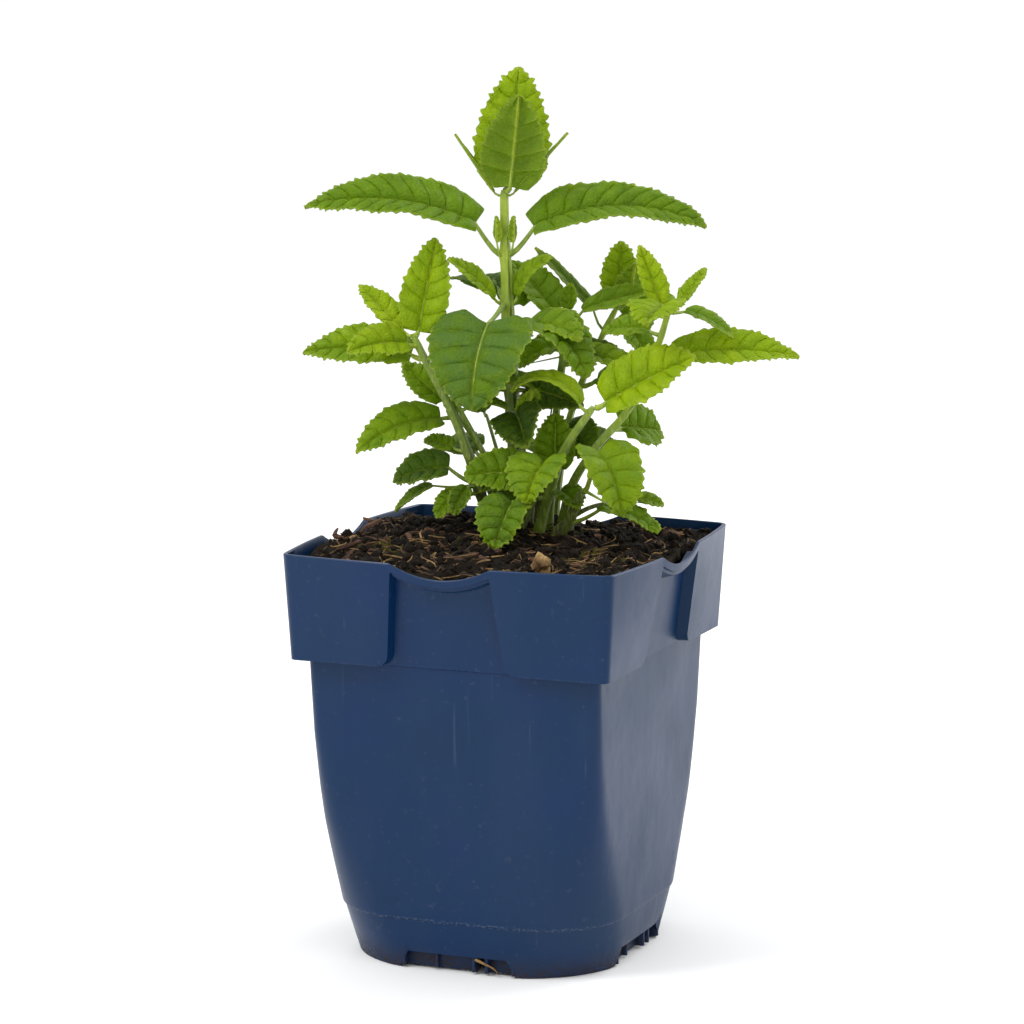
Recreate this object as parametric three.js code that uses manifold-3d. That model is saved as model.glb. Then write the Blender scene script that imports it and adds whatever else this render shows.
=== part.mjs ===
// Potted catmint: a young Nepeta plant in compost in a square plastic nursery pot.
// Millimetres, +Z up. The pot's front face looks along -Y. The origin lies on the standing surface
// under the middle of the whole object; the pot's own middle is POT_OFFSET_X from it.
import * as THREE from 'three';
import Module from 'manifold-3d';

// ---- pot ----------------------------------------------------------------------------------
const POT_OFFSET_X = -10;
const POT_HEIGHT = 125;
const RIM_HALF = 52;           // half the width across the rim, at the corners
const RIM_BOW = 4;             // how far each rim side bulges at its middle
const BAND_BOTTOM = 93;        // lower edge of the wider rim band
const BAND_HALF = 50.5;        // half width at the lower edge of the band
const BODY_HALF = 46.4;        // half width of the body just under the band
const SEAM_HEIGHT = 15.6;      // the small step above the foot
const SEAM_HALF = 45;
const SEAM_STEP = 0.4;
const FOOT_HALF = 42.6;
const FOOT_LAND = 1.8;         // width of the edge the pot stands on
const WALL = 1.1;
const FLOOR_UNDER = 6;         // height of the raised floor's underside
const FLOOR_TOP = 7.4;
const FLOOR_INNER = { half: 34, radius: 24 };   // middle ring of the raised floor
const SCOOP_HALF = 16;         // dip at the middle of each rim side
const SCOOP_DEPTH = 4;
const LIP = 2.3;               // strip left between a scoop and the panel under it
const PANEL_DEPTH = 3.5;       // panel set into the band under each scoop
const PANEL_HALF_TOP = 15.5;
const PANEL_HALF_BOTTOM = 18.5;
const NOTCH_HEIGHT = 5.2;
const DRAIN_WIDTH = 9;
const DRAIN_DEPTH = 5;
const DRAIN_FROM_MIDDLE = 33;
const EDGE = 0.3;              // half width of the bevels at panel and notch edges
const BAND_STEP = 0.4;         // height over which the body widens into the band
const PANEL_MARGIN = 2.5;      // first wall column past the panel's widest point
const TIGHTEST_CORNER = 0.4;   // no corner turns more sharply than this
const DRAIN_CUT = 4;           // depth of the drain slots, through the floor
// corner radius of the walls at rising heights
const CORNER_RADII = [
  [0, 32], [SEAM_HEIGHT, 26], [32, 17], [43, 11.5], [54, 8], [70, 4.5], [BAND_BOTTOM, 2.5], [POT_HEIGHT, 2.5],
];
const BODY_ROWS = [32, 43, 54, 70];

// ---- soil ---------------------------------------------------------------------------------
const GAP = 0.35;              // clearance kept between neighbouring pieces
const SOIL_GAP = 0.7;          // clearance between the soil and the pot's walls
const SOIL_EDGE = 122;         // height of the soil where it meets the pot
const SOIL_MOUND = 5.5;        // how far it rises around the plant
const SOIL_SPREAD = 30;
const SOIL_BELOW_SCOOP = 0.8;
const SOIL_UNDERSIDE = { half: 30, radius: 20 };
const SOIL_FOOT_EASE = 0.1;    // a little more room for the soil just above the floor
const SOIL_ROWS = [0.9, 0.7, 0.5, 0.3, 0.12];   // rings of the top, as shares of the way out
const CROWN = [-2, 16];        // middle of the mound, right and back of the pot's middle

// ---- plant --------------------------------------------------------------------------------
const PLANT_TURN = 22;         // degrees the plant is turned in its pot
const LEAF_THICK = 0.55;
const PETIOLE_THICK = 1.2;
const STEM_SIDES = 8;
const STEM_RIB = 1.08;         // ribs and hollows of the squarish stems, as shares of the radius
const STEM_HOLLOW = 0.95;
const STEM_STEP = 9;           // spacing of the rings along a stem
const PETIOLE_HALF = 0.8;
const TIP_HALF = 0.45;         // half width left at a blade's base and tip
const BLADE_START = 0.8;       // step from the stalk to its blade
const BROAD = 17;              // blades at least this wide get more rows and columns
const LOBE = 0.12;             // how far a heart-shaped blade reaches back past its stalk

// Each shoot: radius at the foot, radius at the top, then points as [right, back, up].
const SHOOTS = {
  main: [2.1, 1.3, [3, 18, 0], [0.5, 18, 165], [-1, 18, 200], [-1.5, 18, 229]],
  left: [1.7, 1.0, [-6, 12, 0], [-9, 10, 138], [-13, 8, 151], [-17.5, 6, 163], [-23, 5, 174], [-29, 5, 186]],
  thin_left: [1.0, 0.8, [-2, 24, 0], [-7, 21, 146], [-12, 19, 155], [-17, 16, 162]],
  front: [1.6, 1.2, [9, 5, 0], [12, 2, 138], [16.5, -2, 152], [25, -8, 166]],
  middle: [1.4, 1.0, [9, 22, 0], [13, 21, 150], [16.3, 20, 176], [17, 20, 188]],
  back_right: [1.3, 0.9, [14, 28, 0], [18, 28, 155], [24.5, 28, 174], [30, 28, 186], [33, 28, 192]],
  far_right: [
    1.6, 1.0, [16, 12, 0], [19, 6, 140], [26, -3, 153], [36, -3, 165], [44, -2, 182], [48, -2, 195],
  ],
  low_right: [1.5, 1.1, [17, 3, 0], [19, 0, 133], [22, -3, 140]],
  low_front: [1.4, 1.1, [3, 3, 0], [6, 0, 136], [12.5, -4, 149]],
};

// Each leaf: shoot, place along it (0 foot, 1 top), direction (0 right, 90 back), stalk length,
// stalk rise, blade length, blade width, rise of the blade at its base, total droop, roll, heart and
// fold (20 unless given).
const LEAVES = {
  top_back: ['main', 1, 60, 1, 70, 36, 22, 81, 2, 30, 0.5, 0],
  top_front: ['main', 1, -50, 1, 70, 28, 19, 81, 0, -40, 0.6, 0],
  top_left: ['main', 0.985, 180, 1, 50, 21, 3.4, 56, 0, 0, 0],
  top_right: ['main', 0.985, 0, 1, 50, 24, 3.4, 48, 0, 0, 0],
  upper_left: ['main', 0.81, 182, 11, 55, 53, 18, 26, 41, -38, 0.6],
  upper_right: ['main', 0.81, -2, 10, 52, 54, 18, 27, 54, 36, 0.6],
  bud_left: ['main', 0.805, 225, 4, 75, 8, 3.6, 88, 0, 0, 0],
  bud_right: ['main', 0.805, -45, 4, 75, 8, 3.6, 88, 0, 0, 0],
  mid_left: ['main', 0.66, 205, 2, 50, 20, 8, 46, 14, -45, 0],
  mid_right: ['main', 0.66, -12, 2, 72, 17, 7, 78, 60, 45, 0],
  mid_back: ['main', 0.67, 108, 5, 30, 24, 24, 20, 40, 0, 0.6, 5],
  mid_front: ['main', 0.66, 250, 14, -18, 31, 29, -30, 60, 0, 0.4],
  main_drop: ['main', 0.59, -40, 6, 15, 28, 19, 0, 70, 10, 0.4],
  deep_left: ['main', 0.4, 192, 1, 0, 8, 10, -5, 20, -30, 0.3],
  deep_right: ['main', 0.4, -27, 2, 0, 20, 14, 0, 25, 45, 0.3],
  fork_left: ['middle', 1, 143, 4, 55, 22, 15, 46, 10, -15, 0.3],
  fork_middle: ['middle', 1, 60, 4, 85, 8, 6, 78, 0, 0, 0],
  fork_right: ['middle', 1, 0, 5, 50, 25, 9, 24, 20, 35, 0],
  middle_low: ['middle', 0.84, 5, 3, 30, 15, 9, 5, 45, 30, 0],
  slim_left: ['back_right', 0.9, 165, 6, 70, 26, 6, 45, 0, -20, 0],
  crest_back: ['back_right', 1, 70, 2, 80, 18, 12, 83, 0, 20, 0.3],
  crest_front: ['back_right', 1, -35, 3, 45, 12, 10, 72, -10, -40, 0.4],
  crest_right: ['back_right', 0.9, -35, 4, 35, 16, 10, -30, 40, 20, 0.3],
  far_up: ['far_right', 1, 150, 1, 60, 19, 8, 66, 0, -50, 0.2],
  far_tip: ['far_right', 1, 20, 2, 45, 13, 6, 50, 0, 20, 0],
  far_front: ['far_right', 1, 248, 2, 10, 16, 18, 5, 35, 0, 0.4],
  far_slim: ['far_right', 0.985, -18, 3, 10, 17, 7, -10, 35, 20, 0],
  far_long: ['far_right', 0.8, -8, 4, 20, 38, 14, 11, 22, 40, 0.2],
  broad_right: ['front', 1, -15, 2, 40, 31, 20, 34, 12, 50, 0.2],
  arch_left: ['front', 0.97, 168, 2, 55, 25, 8, 66, 115, -20, 0],
  under_right: ['far_right', 0.5, 45, 1, 0, 18, 17, -2, 15, 50, 0.6],
  front_up: ['front', 0.4, 85, 2, 75, 17, 13, 80, 0, 0, 0.3],
  round_front: ['low_front', 1, 240, 1, 0, 16, 19, -15, 60, 0, 0.4],
  broad_left: ['low_front', 0.7, 175, 3, 40, 18, 15, 10, 25, -50, 0.3],
  low_round: ['low_front', 0.4, 240, 7, 20, 17, 18, -35, 36, 0, 0.4],
  big_round: ['low_right', 1, -60, 14, 65, 23, 21, -20, 65, 0, 0.4],
  low_point: ['low_right', 0.3, -25, 9, 30, 20, 12, -5, 25, 10, 0.2],
  tall_left: ['left', 1, 56, 1, 60, 29, 15, 71, 0, 34, 0.3],
  peak_left: ['left', 1, 150, 2, 45, 20, 9, 40, 0, -30, 0],
  long_left: ['left', 0.88, 176, 2, 30, 33, 15, 14, 28, -45, 0.3],
  over_left: ['left', 0.95, 217, 2, 20, 22, 12, 12, 30, -45, 0.2],
  wing_left: ['thin_left', 1, 148, 3, 55, 18, 11, 36, 0, -40, 0.3],
  wing_middle: ['thin_left', 1, 50, 3, 70, 11, 8, 72, 0, 0, 0.2],
  wing_low: ['thin_left', 0.93, 205, 4, -5, 30, 13, 4, 44, -40, 0.2],
  wing_right: ['thin_left', 0.97, -80, 2, 40, 9, 9, 42, 0, 20, 0.2],
  dark_left: ['left', 0.22, 172, 7, 35, 18, 13, 0, 30, -40, 0.3],
  slim_low: ['left', 0.2, 178, 11, 0, 14, 6, -25, 20, -20, 0],
  small_left: ['left', 0.38, 155, 2, 20, 10, 7, 12, 0, -30, 0],
  pair_left: ['left', 0.2, 228, 2, 0, 10, 7, -35, 35, -20, 0],
};

const rad = THREE.MathUtils.degToRad;
const lerp = THREE.MathUtils.lerp;
const PLASTIC = new THREE.MeshStandardMaterial({ color: 0x2c4160, roughness: 0.42, metalness: 0 });
const COMPOST = new THREE.MeshStandardMaterial({ color: 0x2a1e14, roughness: 0.95, metalness: 0 });
const STALK = new THREE.MeshStandardMaterial({ color: 0x7e9a26, roughness: 0.55, metalness: 0 });
const LEAF = new THREE.MeshStandardMaterial({ color: 0x6a9418, roughness: 0.55, metalness: 0 });

// A closed skin over a stack of rings, each end closed by a fan about its middle. In a thin sheet the
// second half of each ring faces the first, and its faces are split the same way.
function skin(rings, thin = false) {
  const points = rings.flat();
  const around = rings[0].length;
  const faces = [];
  for (let row = 0; row + 1 < rings.length; row++) {
    for (let i = 0; i < around; i++) {
      const a = row * around + i;
      const b = row * around + (i + 1) % around;
      if (thin && i >= around / 2) {
        faces.push(a, b, a + around, b, b + around, a + around);
      } else {
        faces.push(a, b, b + around, a, b + around, a + around);
      }
    }
  }
  const last = (rings.length - 1) * around;
  const start = points.push(middleOf(rings[0])) - 1;
  const end = points.push(middleOf(rings[rings.length - 1])) - 1;
  for (let i = 0; i < around; i++) {
    const j = (i + 1) % around;
    faces.push(start, j, i, end, last + i, last + j);
  }
  const geometry = new THREE.BufferGeometry().setFromPoints(points);
  geometry.setIndex(faces);
  return geometry;
}

function middleOf(ring) {
  const sum = new THREE.Vector3();
  ring.forEach((point) => sum.add(point));
  return sum.divideScalar(ring.length);
}

function mesh(name, geometry, material) {
  geometry.translate(POT_OFFSET_X, 0, 0);
  const piece = new THREE.Mesh(geometry, material);
  piece.name = name;
  return piece;
}

// ---- pot walls ----------------------------------------------------------------------------
function between(table, z) {
  const i = Math.max(1, table.findIndex(([height]) => height >= z));
  const [z0, a] = table[i - 1];
  const [z1, b] = table[i];
  return lerp(a, b, THREE.MathUtils.clamp((z - z0) / (z1 - z0), 0, 1));
}

const wallHalf = (z) => between([[0, FOOT_HALF], [SEAM_HEIGHT, SEAM_HALF], [BAND_BOTTOM, BODY_HALF]], z);
const bandHalf = (z) => between([[BAND_BOTTOM, BAND_HALF], [POT_HEIGHT, RIM_HALF]], z);
const bowAt = (z) => between([[BAND_BOTTOM, 0], [POT_HEIGHT, RIM_BOW]], z);
const rimHeight = (u) => POT_HEIGHT - SCOOP_DEPTH * Math.max(0, 1 - (u / SCOOP_HALF) ** 2);
const panelHalf = (z) => between([[BAND_BOTTOM, PANEL_HALF_BOTTOM], [POT_HEIGHT - LIP, PANEL_HALF_TOP]], z);

// Columns run from the middle of a side to its corner: fixed distances, panel edge, notch edge,
// then shares of the way to the corner.
const POT_SHARES = [0, 0.3, 0.6, 0.85, 0.945, 0.98, 1];
const SOIL_SHARES = [0, 0.6, 0.945, 1];

function cornerReach(half, radius) {
  return half - radius + radius * Math.SQRT1_2;
}

function columnOffsets(z, half, radius, inset, shares) {
  const reach = cornerReach(half, radius);
  const panel = panelHalf(z) + inset;
  const positive = [0, SCOOP_HALF / 2, panel - EDGE, panel + EDGE];
  shares.forEach((share) => positive.push(lerp(PANEL_HALF_BOTTOM + PANEL_MARGIN, reach, share)));
  const negative = positive.slice(1, -1).reverse().map((u) => -u);
  return [...negative, ...positive];
}

// How far out the wall stands at a distance u along its side.
function standoff(u, half, radius, bow) {
  const flat = half - radius;
  const over = Math.max(0, Math.abs(u) - flat);
  const outward = flat + Math.sqrt(Math.max(0, radius ** 2 - over ** 2));
  return outward + bow * Math.max(0, 1 - (u / half) ** 2);
}

// One ring of the wall. heightAt and insetAt are given the column's distance along the side.
function wallRing({
  z, half, inset = 0, radius, bow = 0, shares = POT_SHARES, heightAt = () => z, insetAt = () => 0,
}) {
  const curve = Math.max(TIGHTEST_CORNER, (radius ?? between(CORNER_RADII, z)) - inset);
  const size = half - inset;
  const ring = [];
  for (let side = 0; side < 4; side++) {
    const angle = side * Math.PI / 2;
    for (const u of columnOffsets(z, size, curve, inset, shares)) {
      const out = standoff(u, size, curve, bow) - insetAt(u);
      ring.push(new THREE.Vector3(
        u * Math.cos(angle) + out * Math.sin(angle),
        u * Math.sin(angle) - out * Math.cos(angle),
        heightAt(u)));
    }
  }
  return ring;
}

const inPanel = (u, z, inset) => Math.abs(u) < panelHalf(z) + inset;

function bandRing(z, inset, drop, panelled) {
  return wallRing({
    z, half: bandHalf(z), inset, bow: bowAt(z),
    heightAt: (u) => (drop === null ? z : rimHeight(u) - drop),
    insetAt: (u) => (panelled && inPanel(u, z, inset) ? PANEL_DEPTH : 0),
  });
}

function potShell() {
  const notch = (u) => (Math.abs(u) < PANEL_HALF_BOTTOM ? NOTCH_HEIGHT : 0);
  const rings = [];
  rings.push(wallRing({ z: FLOOR_UNDER, ...FLOOR_INNER }));
  rings.push(wallRing({ z: FLOOR_UNDER, half: FOOT_HALF, inset: FOOT_LAND }));
  rings.push(wallRing({ z: 0, half: FOOT_HALF, inset: FOOT_LAND, heightAt: notch }));
  rings.push(wallRing({ z: 0, half: FOOT_HALF, heightAt: notch }));
  rings.push(wallRing({ z: SEAM_HEIGHT, half: SEAM_HALF - SEAM_STEP }));
  rings.push(wallRing({ z: SEAM_HEIGHT + SEAM_STEP, half: SEAM_HALF }));
  for (const z of BODY_ROWS) {
    rings.push(wallRing({ z, half: wallHalf(z) }));
  }
  rings.push(wallRing({ z: BAND_BOTTOM - BAND_STEP, half: BODY_HALF }));
  rings.push(bandRing(BAND_BOTTOM, 0, null, true));
  rings.push(bandRing(POT_HEIGHT - LIP - EDGE, 0, LIP + EDGE, true));
  rings.push(bandRing(POT_HEIGHT - LIP, 0, LIP, false));
  rings.push(bandRing(POT_HEIGHT, 0, 0, false));
  rings.push(bandRing(POT_HEIGHT, WALL, 0, false));
  rings.push(bandRing(POT_HEIGHT - LIP, WALL, LIP + WALL, false));
  rings.push(bandRing(POT_HEIGHT - LIP, WALL, LIP + 2 * WALL, true));
  rings.push(bandRing(BAND_BOTTOM + WALL, WALL, null, true));
  rings.push(wallRing({ z: BAND_BOTTOM + WALL - BAND_STEP, half: BODY_HALF, inset: WALL }));
  for (const z of BODY_ROWS.toReversed()) {
    rings.push(wallRing({ z, half: wallHalf(z), inset: WALL }));
  }
  rings.push(wallRing({ z: SEAM_HEIGHT, half: SEAM_HALF - SEAM_STEP, inset: WALL }));
  rings.push(wallRing({ z: FLOOR_TOP, half: wallHalf(FLOOR_TOP), inset: WALL }));
  rings.push(wallRing({ z: FLOOR_TOP, ...FLOOR_INNER }));
  return skin(rings);
}

function solidOf(wasm, geometry) {
  const position = geometry.getAttribute('position');
  return new wasm.Manifold(new wasm.Mesh({
    numProp: 3,
    vertProperties: new Float32Array(position.array),
    triVerts: new Uint32Array(geometry.index.array),
  }));
}

function geometryOf(solid) {
  const result = solid.getMesh();
  const geometry = new THREE.BufferGeometry();
  geometry.setAttribute('position', new THREE.BufferAttribute(result.vertProperties, 3));
  geometry.setIndex(new THREE.BufferAttribute(result.triVerts, 1));
  return geometry;
}

function makePot(wasm) {
  let solid = solidOf(wasm, potShell());
  for (let side = 0; side < 4; side++) {
    const slot = new THREE.BoxGeometry(DRAIN_WIDTH, DRAIN_DEPTH, DRAIN_CUT);
    slot.translate(0, -DRAIN_FROM_MIDDLE, (FLOOR_UNDER + FLOOR_TOP) / 2);
    slot.rotateZ(side * Math.PI / 2);
    solid = solid.subtract(weldedSolid(wasm, slot));
  }
  return mesh('pot', geometryOf(solid), PLASTIC);
}

function weldedSolid(wasm, geometry) {
  const position = geometry.getAttribute('position');
  const box = new wasm.Mesh({
    numProp: 3,
    vertProperties: new Float32Array(position.array),
    triVerts: new Uint32Array(geometry.index.array),
  });
  box.merge();
  return new wasm.Manifold(box);
}

// ---- plant frame --------------------------------------------------------------------------
function place([right, back, up]) {
  const turn = rad(PLANT_TURN);
  return new THREE.Vector3(
    right * Math.cos(turn) - back * Math.sin(turn),
    right * Math.sin(turn) + back * Math.cos(turn),
    up);
}

function soilHeight(x, y) {
  const crown = place([...CROWN, 0]);
  const away = Math.hypot(x - crown.x, y - crown.y) / SOIL_SPREAD;
  return SOIL_EDGE + SOIL_MOUND * Math.exp(-away * away);
}

function soilSides() {
  const inset = WALL + SOIL_GAP;
  const shares = SOIL_SHARES;
  const rings = [wallRing({ z: FLOOR_TOP + GAP, ...SOIL_UNDERSIDE, shares })];
  const footInset = inset + SOIL_FOOT_EASE;
  rings.push(wallRing({ z: FLOOR_TOP + GAP, half: wallHalf(FLOOR_TOP), inset: footInset, shares }));
  rings.push(wallRing({ z: SEAM_HEIGHT, half: SEAM_HALF - SEAM_STEP, inset, shares }));
  for (const z of BODY_ROWS) {
    rings.push(wallRing({ z, half: wallHalf(z), inset, shares }));
  }
  rings.push(wallRing({ z: BAND_BOTTOM + WALL + BAND_STEP / 2, half: BODY_HALF, inset, shares }));
  const bandStart = BAND_BOTTOM + WALL + GAP + BAND_STEP;
  for (const [z, heightAt] of [[bandStart, () => bandStart], [SOIL_EDGE, soilRim]]) {
    rings.push(wallRing({
      z, half: bandHalf(z), inset, bow: bowAt(z), shares, heightAt,
      insetAt: (u) => (inPanel(u, z, inset) ? PANEL_DEPTH : 0),
    }));
  }
  return rings;
}

// The soil's edge, dipping with the scoops.
function soilRim(u) {
  return Math.min(SOIL_EDGE, rimHeight(u) - SOIL_BELOW_SCOOP);
}

function makeSoil() {
  const rings = soilSides();
  const edge = rings[rings.length - 1];
  for (const share of SOIL_ROWS) {
    rings.push(edge.map((point) => {
      const x = point.x * share;
      const y = point.y * share;
      return new THREE.Vector3(x, y, soilHeight(x, y));
    }));
  }
  return mesh('soil', skin(rings), COMPOST);
}

// ---- shoots -------------------------------------------------------------------------------
function shootCurve(name) {
  const [, , foot, ...rest] = SHOOTS[name];
  const base = place(foot);
  base.z = soilHeight(base.x, base.y) + GAP;
  return new THREE.CatmullRomCurve3([base, ...rest.map(place)]);
}

function shootRadius(name, along) {
  const [foot, top] = SHOOTS[name];
  return lerp(foot, top, along);
}

function makeShoot(name) {
  const curve = shootCurve(name);
  const steps = Math.max(4, Math.round(curve.getLength() / STEM_STEP));
  const rings = [];
  for (let i = 0; i <= steps; i++) {
    const along = i / steps;
    const centre = curve.getPointAt(along);
    const tangent = i === 0 ? new THREE.Vector3(0, 0, 1) : curve.getTangentAt(along);
    const side = new THREE.Vector3(0, 1, 0).cross(tangent).normalize();
    const front = tangent.clone().cross(side);
    const ring = [];
    for (let k = 0; k < STEM_SIDES; k++) {
      const angle = 2 * Math.PI * k / STEM_SIDES;
      const radius = shootRadius(name, along) * (k % 2 ? STEM_RIB : STEM_HOLLOW);
      ring.push(centre.clone()
        .addScaledVector(side, radius * Math.cos(angle))
        .addScaledVector(front, radius * Math.sin(angle)));
    }
    rings.push(ring);
  }
  return mesh(`stem_${name}`, skin(rings), STALK);
}

// ---- leaves -------------------------------------------------------------------------------
function bladeShape(v, heart) {
  const start = 0.03 + 0.25 * heart;
  const widest = Math.max(0, (0.5 - 0.8 * start) / 1.3);
  const form = (t) => Math.sqrt(t + start) * Math.max(0, 1 - t) ** 0.8;
  const rounding = 1 - 0.3 * heart * Math.max(0, 1 - v / 0.1);
  return rounding * form(v) / form(widest);
}

function direction(azimuth, rise) {
  return new THREE.Vector3(
    Math.cos(rise) * Math.cos(azimuth),
    Math.cos(rise) * Math.sin(azimuth),
    Math.sin(rise));
}

// Columns of points across the leaf, on its upper and then its under side.
function crossLine({ centre, tangent, azimuth, roll, halfWidth, thick, fold, back, columns }) {
  const flatSide = new THREE.Vector3(-Math.sin(azimuth), Math.cos(azimuth), 0);
  const flatNormal = tangent.clone().cross(flatSide);
  const side = flatSide.clone().multiplyScalar(Math.cos(roll)).addScaledVector(flatNormal, Math.sin(roll));
  const normal = tangent.clone().cross(side);
  const upper = [];
  const under = [];
  for (const s of columns) {
    const point = centre.clone()
      .addScaledVector(side, s * halfWidth * Math.cos(fold))
      .addScaledVector(normal, Math.abs(s) * halfWidth * Math.sin(fold))
      .addScaledVector(tangent, -back * s * s);
    const rim = thick / 2;
    upper.push(point.clone().addScaledVector(normal, rim));
    under.push(point.clone().addScaledVector(normal, -rim));
  }
  return [...under, ...upper.reverse()];
}

function makeLeaf(name) {
  const [shoot, at, turn, stalk, lift, length, width, rise, droop, roll, heart, fold = 20] = LEAVES[name];
  const big = width >= BROAD;
  const columns = big ? [-1, -0.5, 0, 0.5, 1] : [-1, 0, 1];
  const rows = big ? [0, 0.1, 0.25, 0.45, 0.65, 0.85, 1] : [0, 0.12, 0.3, 0.55, 0.8, 1];
  const azimuth = rad(turn + PLANT_TURN);
  const curve = shootCurve(shoot);
  const centre = curve.getPointAt(at);
  const clear = shootRadius(shoot, at) * STEM_RIB + GAP + PETIOLE_THICK / 2;
  centre.addScaledVector(direction(azimuth, 0), clear);
  const petiole = {
    azimuth, roll: 0, halfWidth: PETIOLE_HALF, thick: PETIOLE_THICK, fold: 0, back: 0, columns,
  };
  const rings = [];
  const stalkWay = direction(azimuth, rad(lift));
  rings.push(crossLine({ ...petiole, centre, tangent: stalkWay }));
  centre.addScaledVector(stalkWay, stalk);
  rings.push(crossLine({ ...petiole, centre, tangent: direction(azimuth, rad(rise)), roll: rad(roll) }));
  centre.addScaledVector(direction(azimuth, rad(rise)), BLADE_START);
  let travelled = 0;
  for (const v of rows) {
    const middle = (v + travelled) / 2;
    const way = direction(azimuth, rad(rise - droop * middle));
    centre.addScaledVector(way, (v - travelled) * length);
    travelled = v;
    const tangent = direction(azimuth, rad(rise - droop * v));
    rings.push(crossLine({
      centre, tangent, azimuth, roll: rad(roll), columns,
      halfWidth: Math.max(TIP_HALF, width / 2 * bladeShape(v, heart)),
      thick: LEAF_THICK,
      fold: rad(fold),
      back: LOBE * heart ** 2 * width * (1 - v) ** 3,
    }));
  }
  return mesh(`leaf_${name}`, skin(rings, true), LEAF);
}

const wasm = await Module();
wasm.setup();
const plant = new THREE.Group();
plant.name = 'potted_catmint';
plant.add(makePot(wasm));
plant.add(makeSoil());
Object.keys(SHOOTS).forEach((name) => plant.add(makeShoot(name)));
Object.keys(LEAVES).forEach((name) => plant.add(makeLeaf(name)));

export default plant;
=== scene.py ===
import math
import random

import bpy
import numpy as np
from mathutils import Matrix, Vector, noise


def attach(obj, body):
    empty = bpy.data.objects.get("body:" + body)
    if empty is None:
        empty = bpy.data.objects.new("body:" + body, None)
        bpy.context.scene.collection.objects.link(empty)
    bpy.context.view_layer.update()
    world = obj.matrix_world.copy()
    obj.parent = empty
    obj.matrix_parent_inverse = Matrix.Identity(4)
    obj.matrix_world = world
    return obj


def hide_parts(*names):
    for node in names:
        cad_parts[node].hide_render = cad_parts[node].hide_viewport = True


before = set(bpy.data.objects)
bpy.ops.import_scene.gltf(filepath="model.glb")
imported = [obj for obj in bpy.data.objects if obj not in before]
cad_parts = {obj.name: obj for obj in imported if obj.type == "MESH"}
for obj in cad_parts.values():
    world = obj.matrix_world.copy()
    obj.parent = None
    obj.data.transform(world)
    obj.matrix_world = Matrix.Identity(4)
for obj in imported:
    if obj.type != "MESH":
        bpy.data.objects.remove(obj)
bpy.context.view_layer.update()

BODY = "root"
MM = 0.001

# ---- sizes, in millimetres, as in the part's source ------------------------------------------
POT_OFFSET_X = -10.0
POT_HEIGHT = 125.0
RIM_HALF = 52.0
RIM_BOW = 4.0
BAND_BOTTOM = 93.0
BAND_HALF = 50.5
BODY_HALF = 46.4
SEAM_HEIGHT = 15.6
SEAM_HALF = 45.0
SEAM_STEP = 0.4
FOOT_HALF = 42.6
FOOT_LAND = 1.8
WALL = 1.1
FLOOR_UNDER = 6.0
FLOOR_TOP = 7.4
SCOOP_HALF = 16.0
SCOOP_DEPTH = 4.0
LIP = 2.3
PANEL_DEPTH = 3.5
PANEL_HALF_TOP = 15.5
PANEL_HALF_BOTTOM = 18.5
NOTCH_HEIGHT = 5.2
CORNER_RADII = [(0, 32), (SEAM_HEIGHT, 26), (32, 17), (43, 11.5), (54, 8), (70, 4.5), (BAND_BOTTOM, 2.5),
                (POT_HEIGHT, 2.5)]
PANEL_CORNER = 3.6             # rounding of the band's corner pieces beside each panel

GAP = 0.35
SOIL_EDGE = 122.0
SOIL_MOUND = 5.5
SOIL_SPREAD = 30.0
CROWN = (-2.0, 16.0)

PLANT_TURN = 22.0
LEAF_THICK = 0.42
PETIOLE_THICK = 1.2
STEM_RIB = 1.08
LOBE = 0.2
FOLD = 20.0                    # how far each half of a blade is raised from flat, in degrees
OWN_FOLDS = {"top_back": 0, "top_front": 0, "mid_front": 8, "mid_back": 5}

# A leaf's margin and surface.
TOOTH_ROWS = 7                 # rows of faces to a tooth
TOOTH_LEAN = 1.35              # above 1, a tooth's peak leans towards the leaf's tip
TOOTH_ROUNDING = 0.7
TOOTH_FORWARD = 0.5
MARGIN_POWER = 7               # how narrow the band is that the teeth are raised in
VEIN_SWEEP = 0.55              # how far the side veins run forward before the margin
PUFF_SHARE = 0.08              # height of the swelling between veins for each mm of width
PUFF_MOST = 1.5

# The pot's floor and the small walls behind each notch of its foot: middle, width and depth.
FLOOR_HALF = 34.0
FLOOR_CORNER = 24.0
NOTCH_SLOPE = 0.9
NOTCH_WALLS = ((-6.0, 23.0, 0.9), (-7.0, 1.0, 2.4), (13.6, 9.0, 0.9), (-17.3, 1.0, 3.4), (5.3, 1.0, 3.4),
               (9.4, 1.0, 3.4), (17.9, 1.0, 3.4))
NOTCH_WALL_HEIGHT = 6.2
NOTCH_WALL_FOOT = 0.5
NOTCH_WALL_OUT = FOOT_HALF - 3.8

# Swells and hollows of the soil: place, reach each way, and height.
SOIL_SWELLS = ((-46, 2, 11, 24, 3.6), (-44, 46, 12, 11, -5.0), (-47, -44, 6, 9, -3.0))
SOIL_SHEET = 150               # faces along a side of the soil's top
SOIL_CRUST = 2.5
CRUMBS = 1300
FIELD = 51.0                   # half of the square that loose bits are scattered in
FIBRE_FIELD = 49.0
LUMP_AT = (27.5, -44.0)

# The camera and the lights.
CAMERA_AZIMUTH, CAMERA_ELEVATION, CAMERA_DISTANCE = 21.8, 9.43, 1.226
CAMERA_LENS, CAMERA_SENSOR = 142.2, 36
CAMERA_SHIFT = (0.0026, 0.0254)
KEY_POWER, BACK_POWER = 8, 7
SKY_STRENGTH, BACKDROP_STRENGTH = 1.08, 1.1

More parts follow.
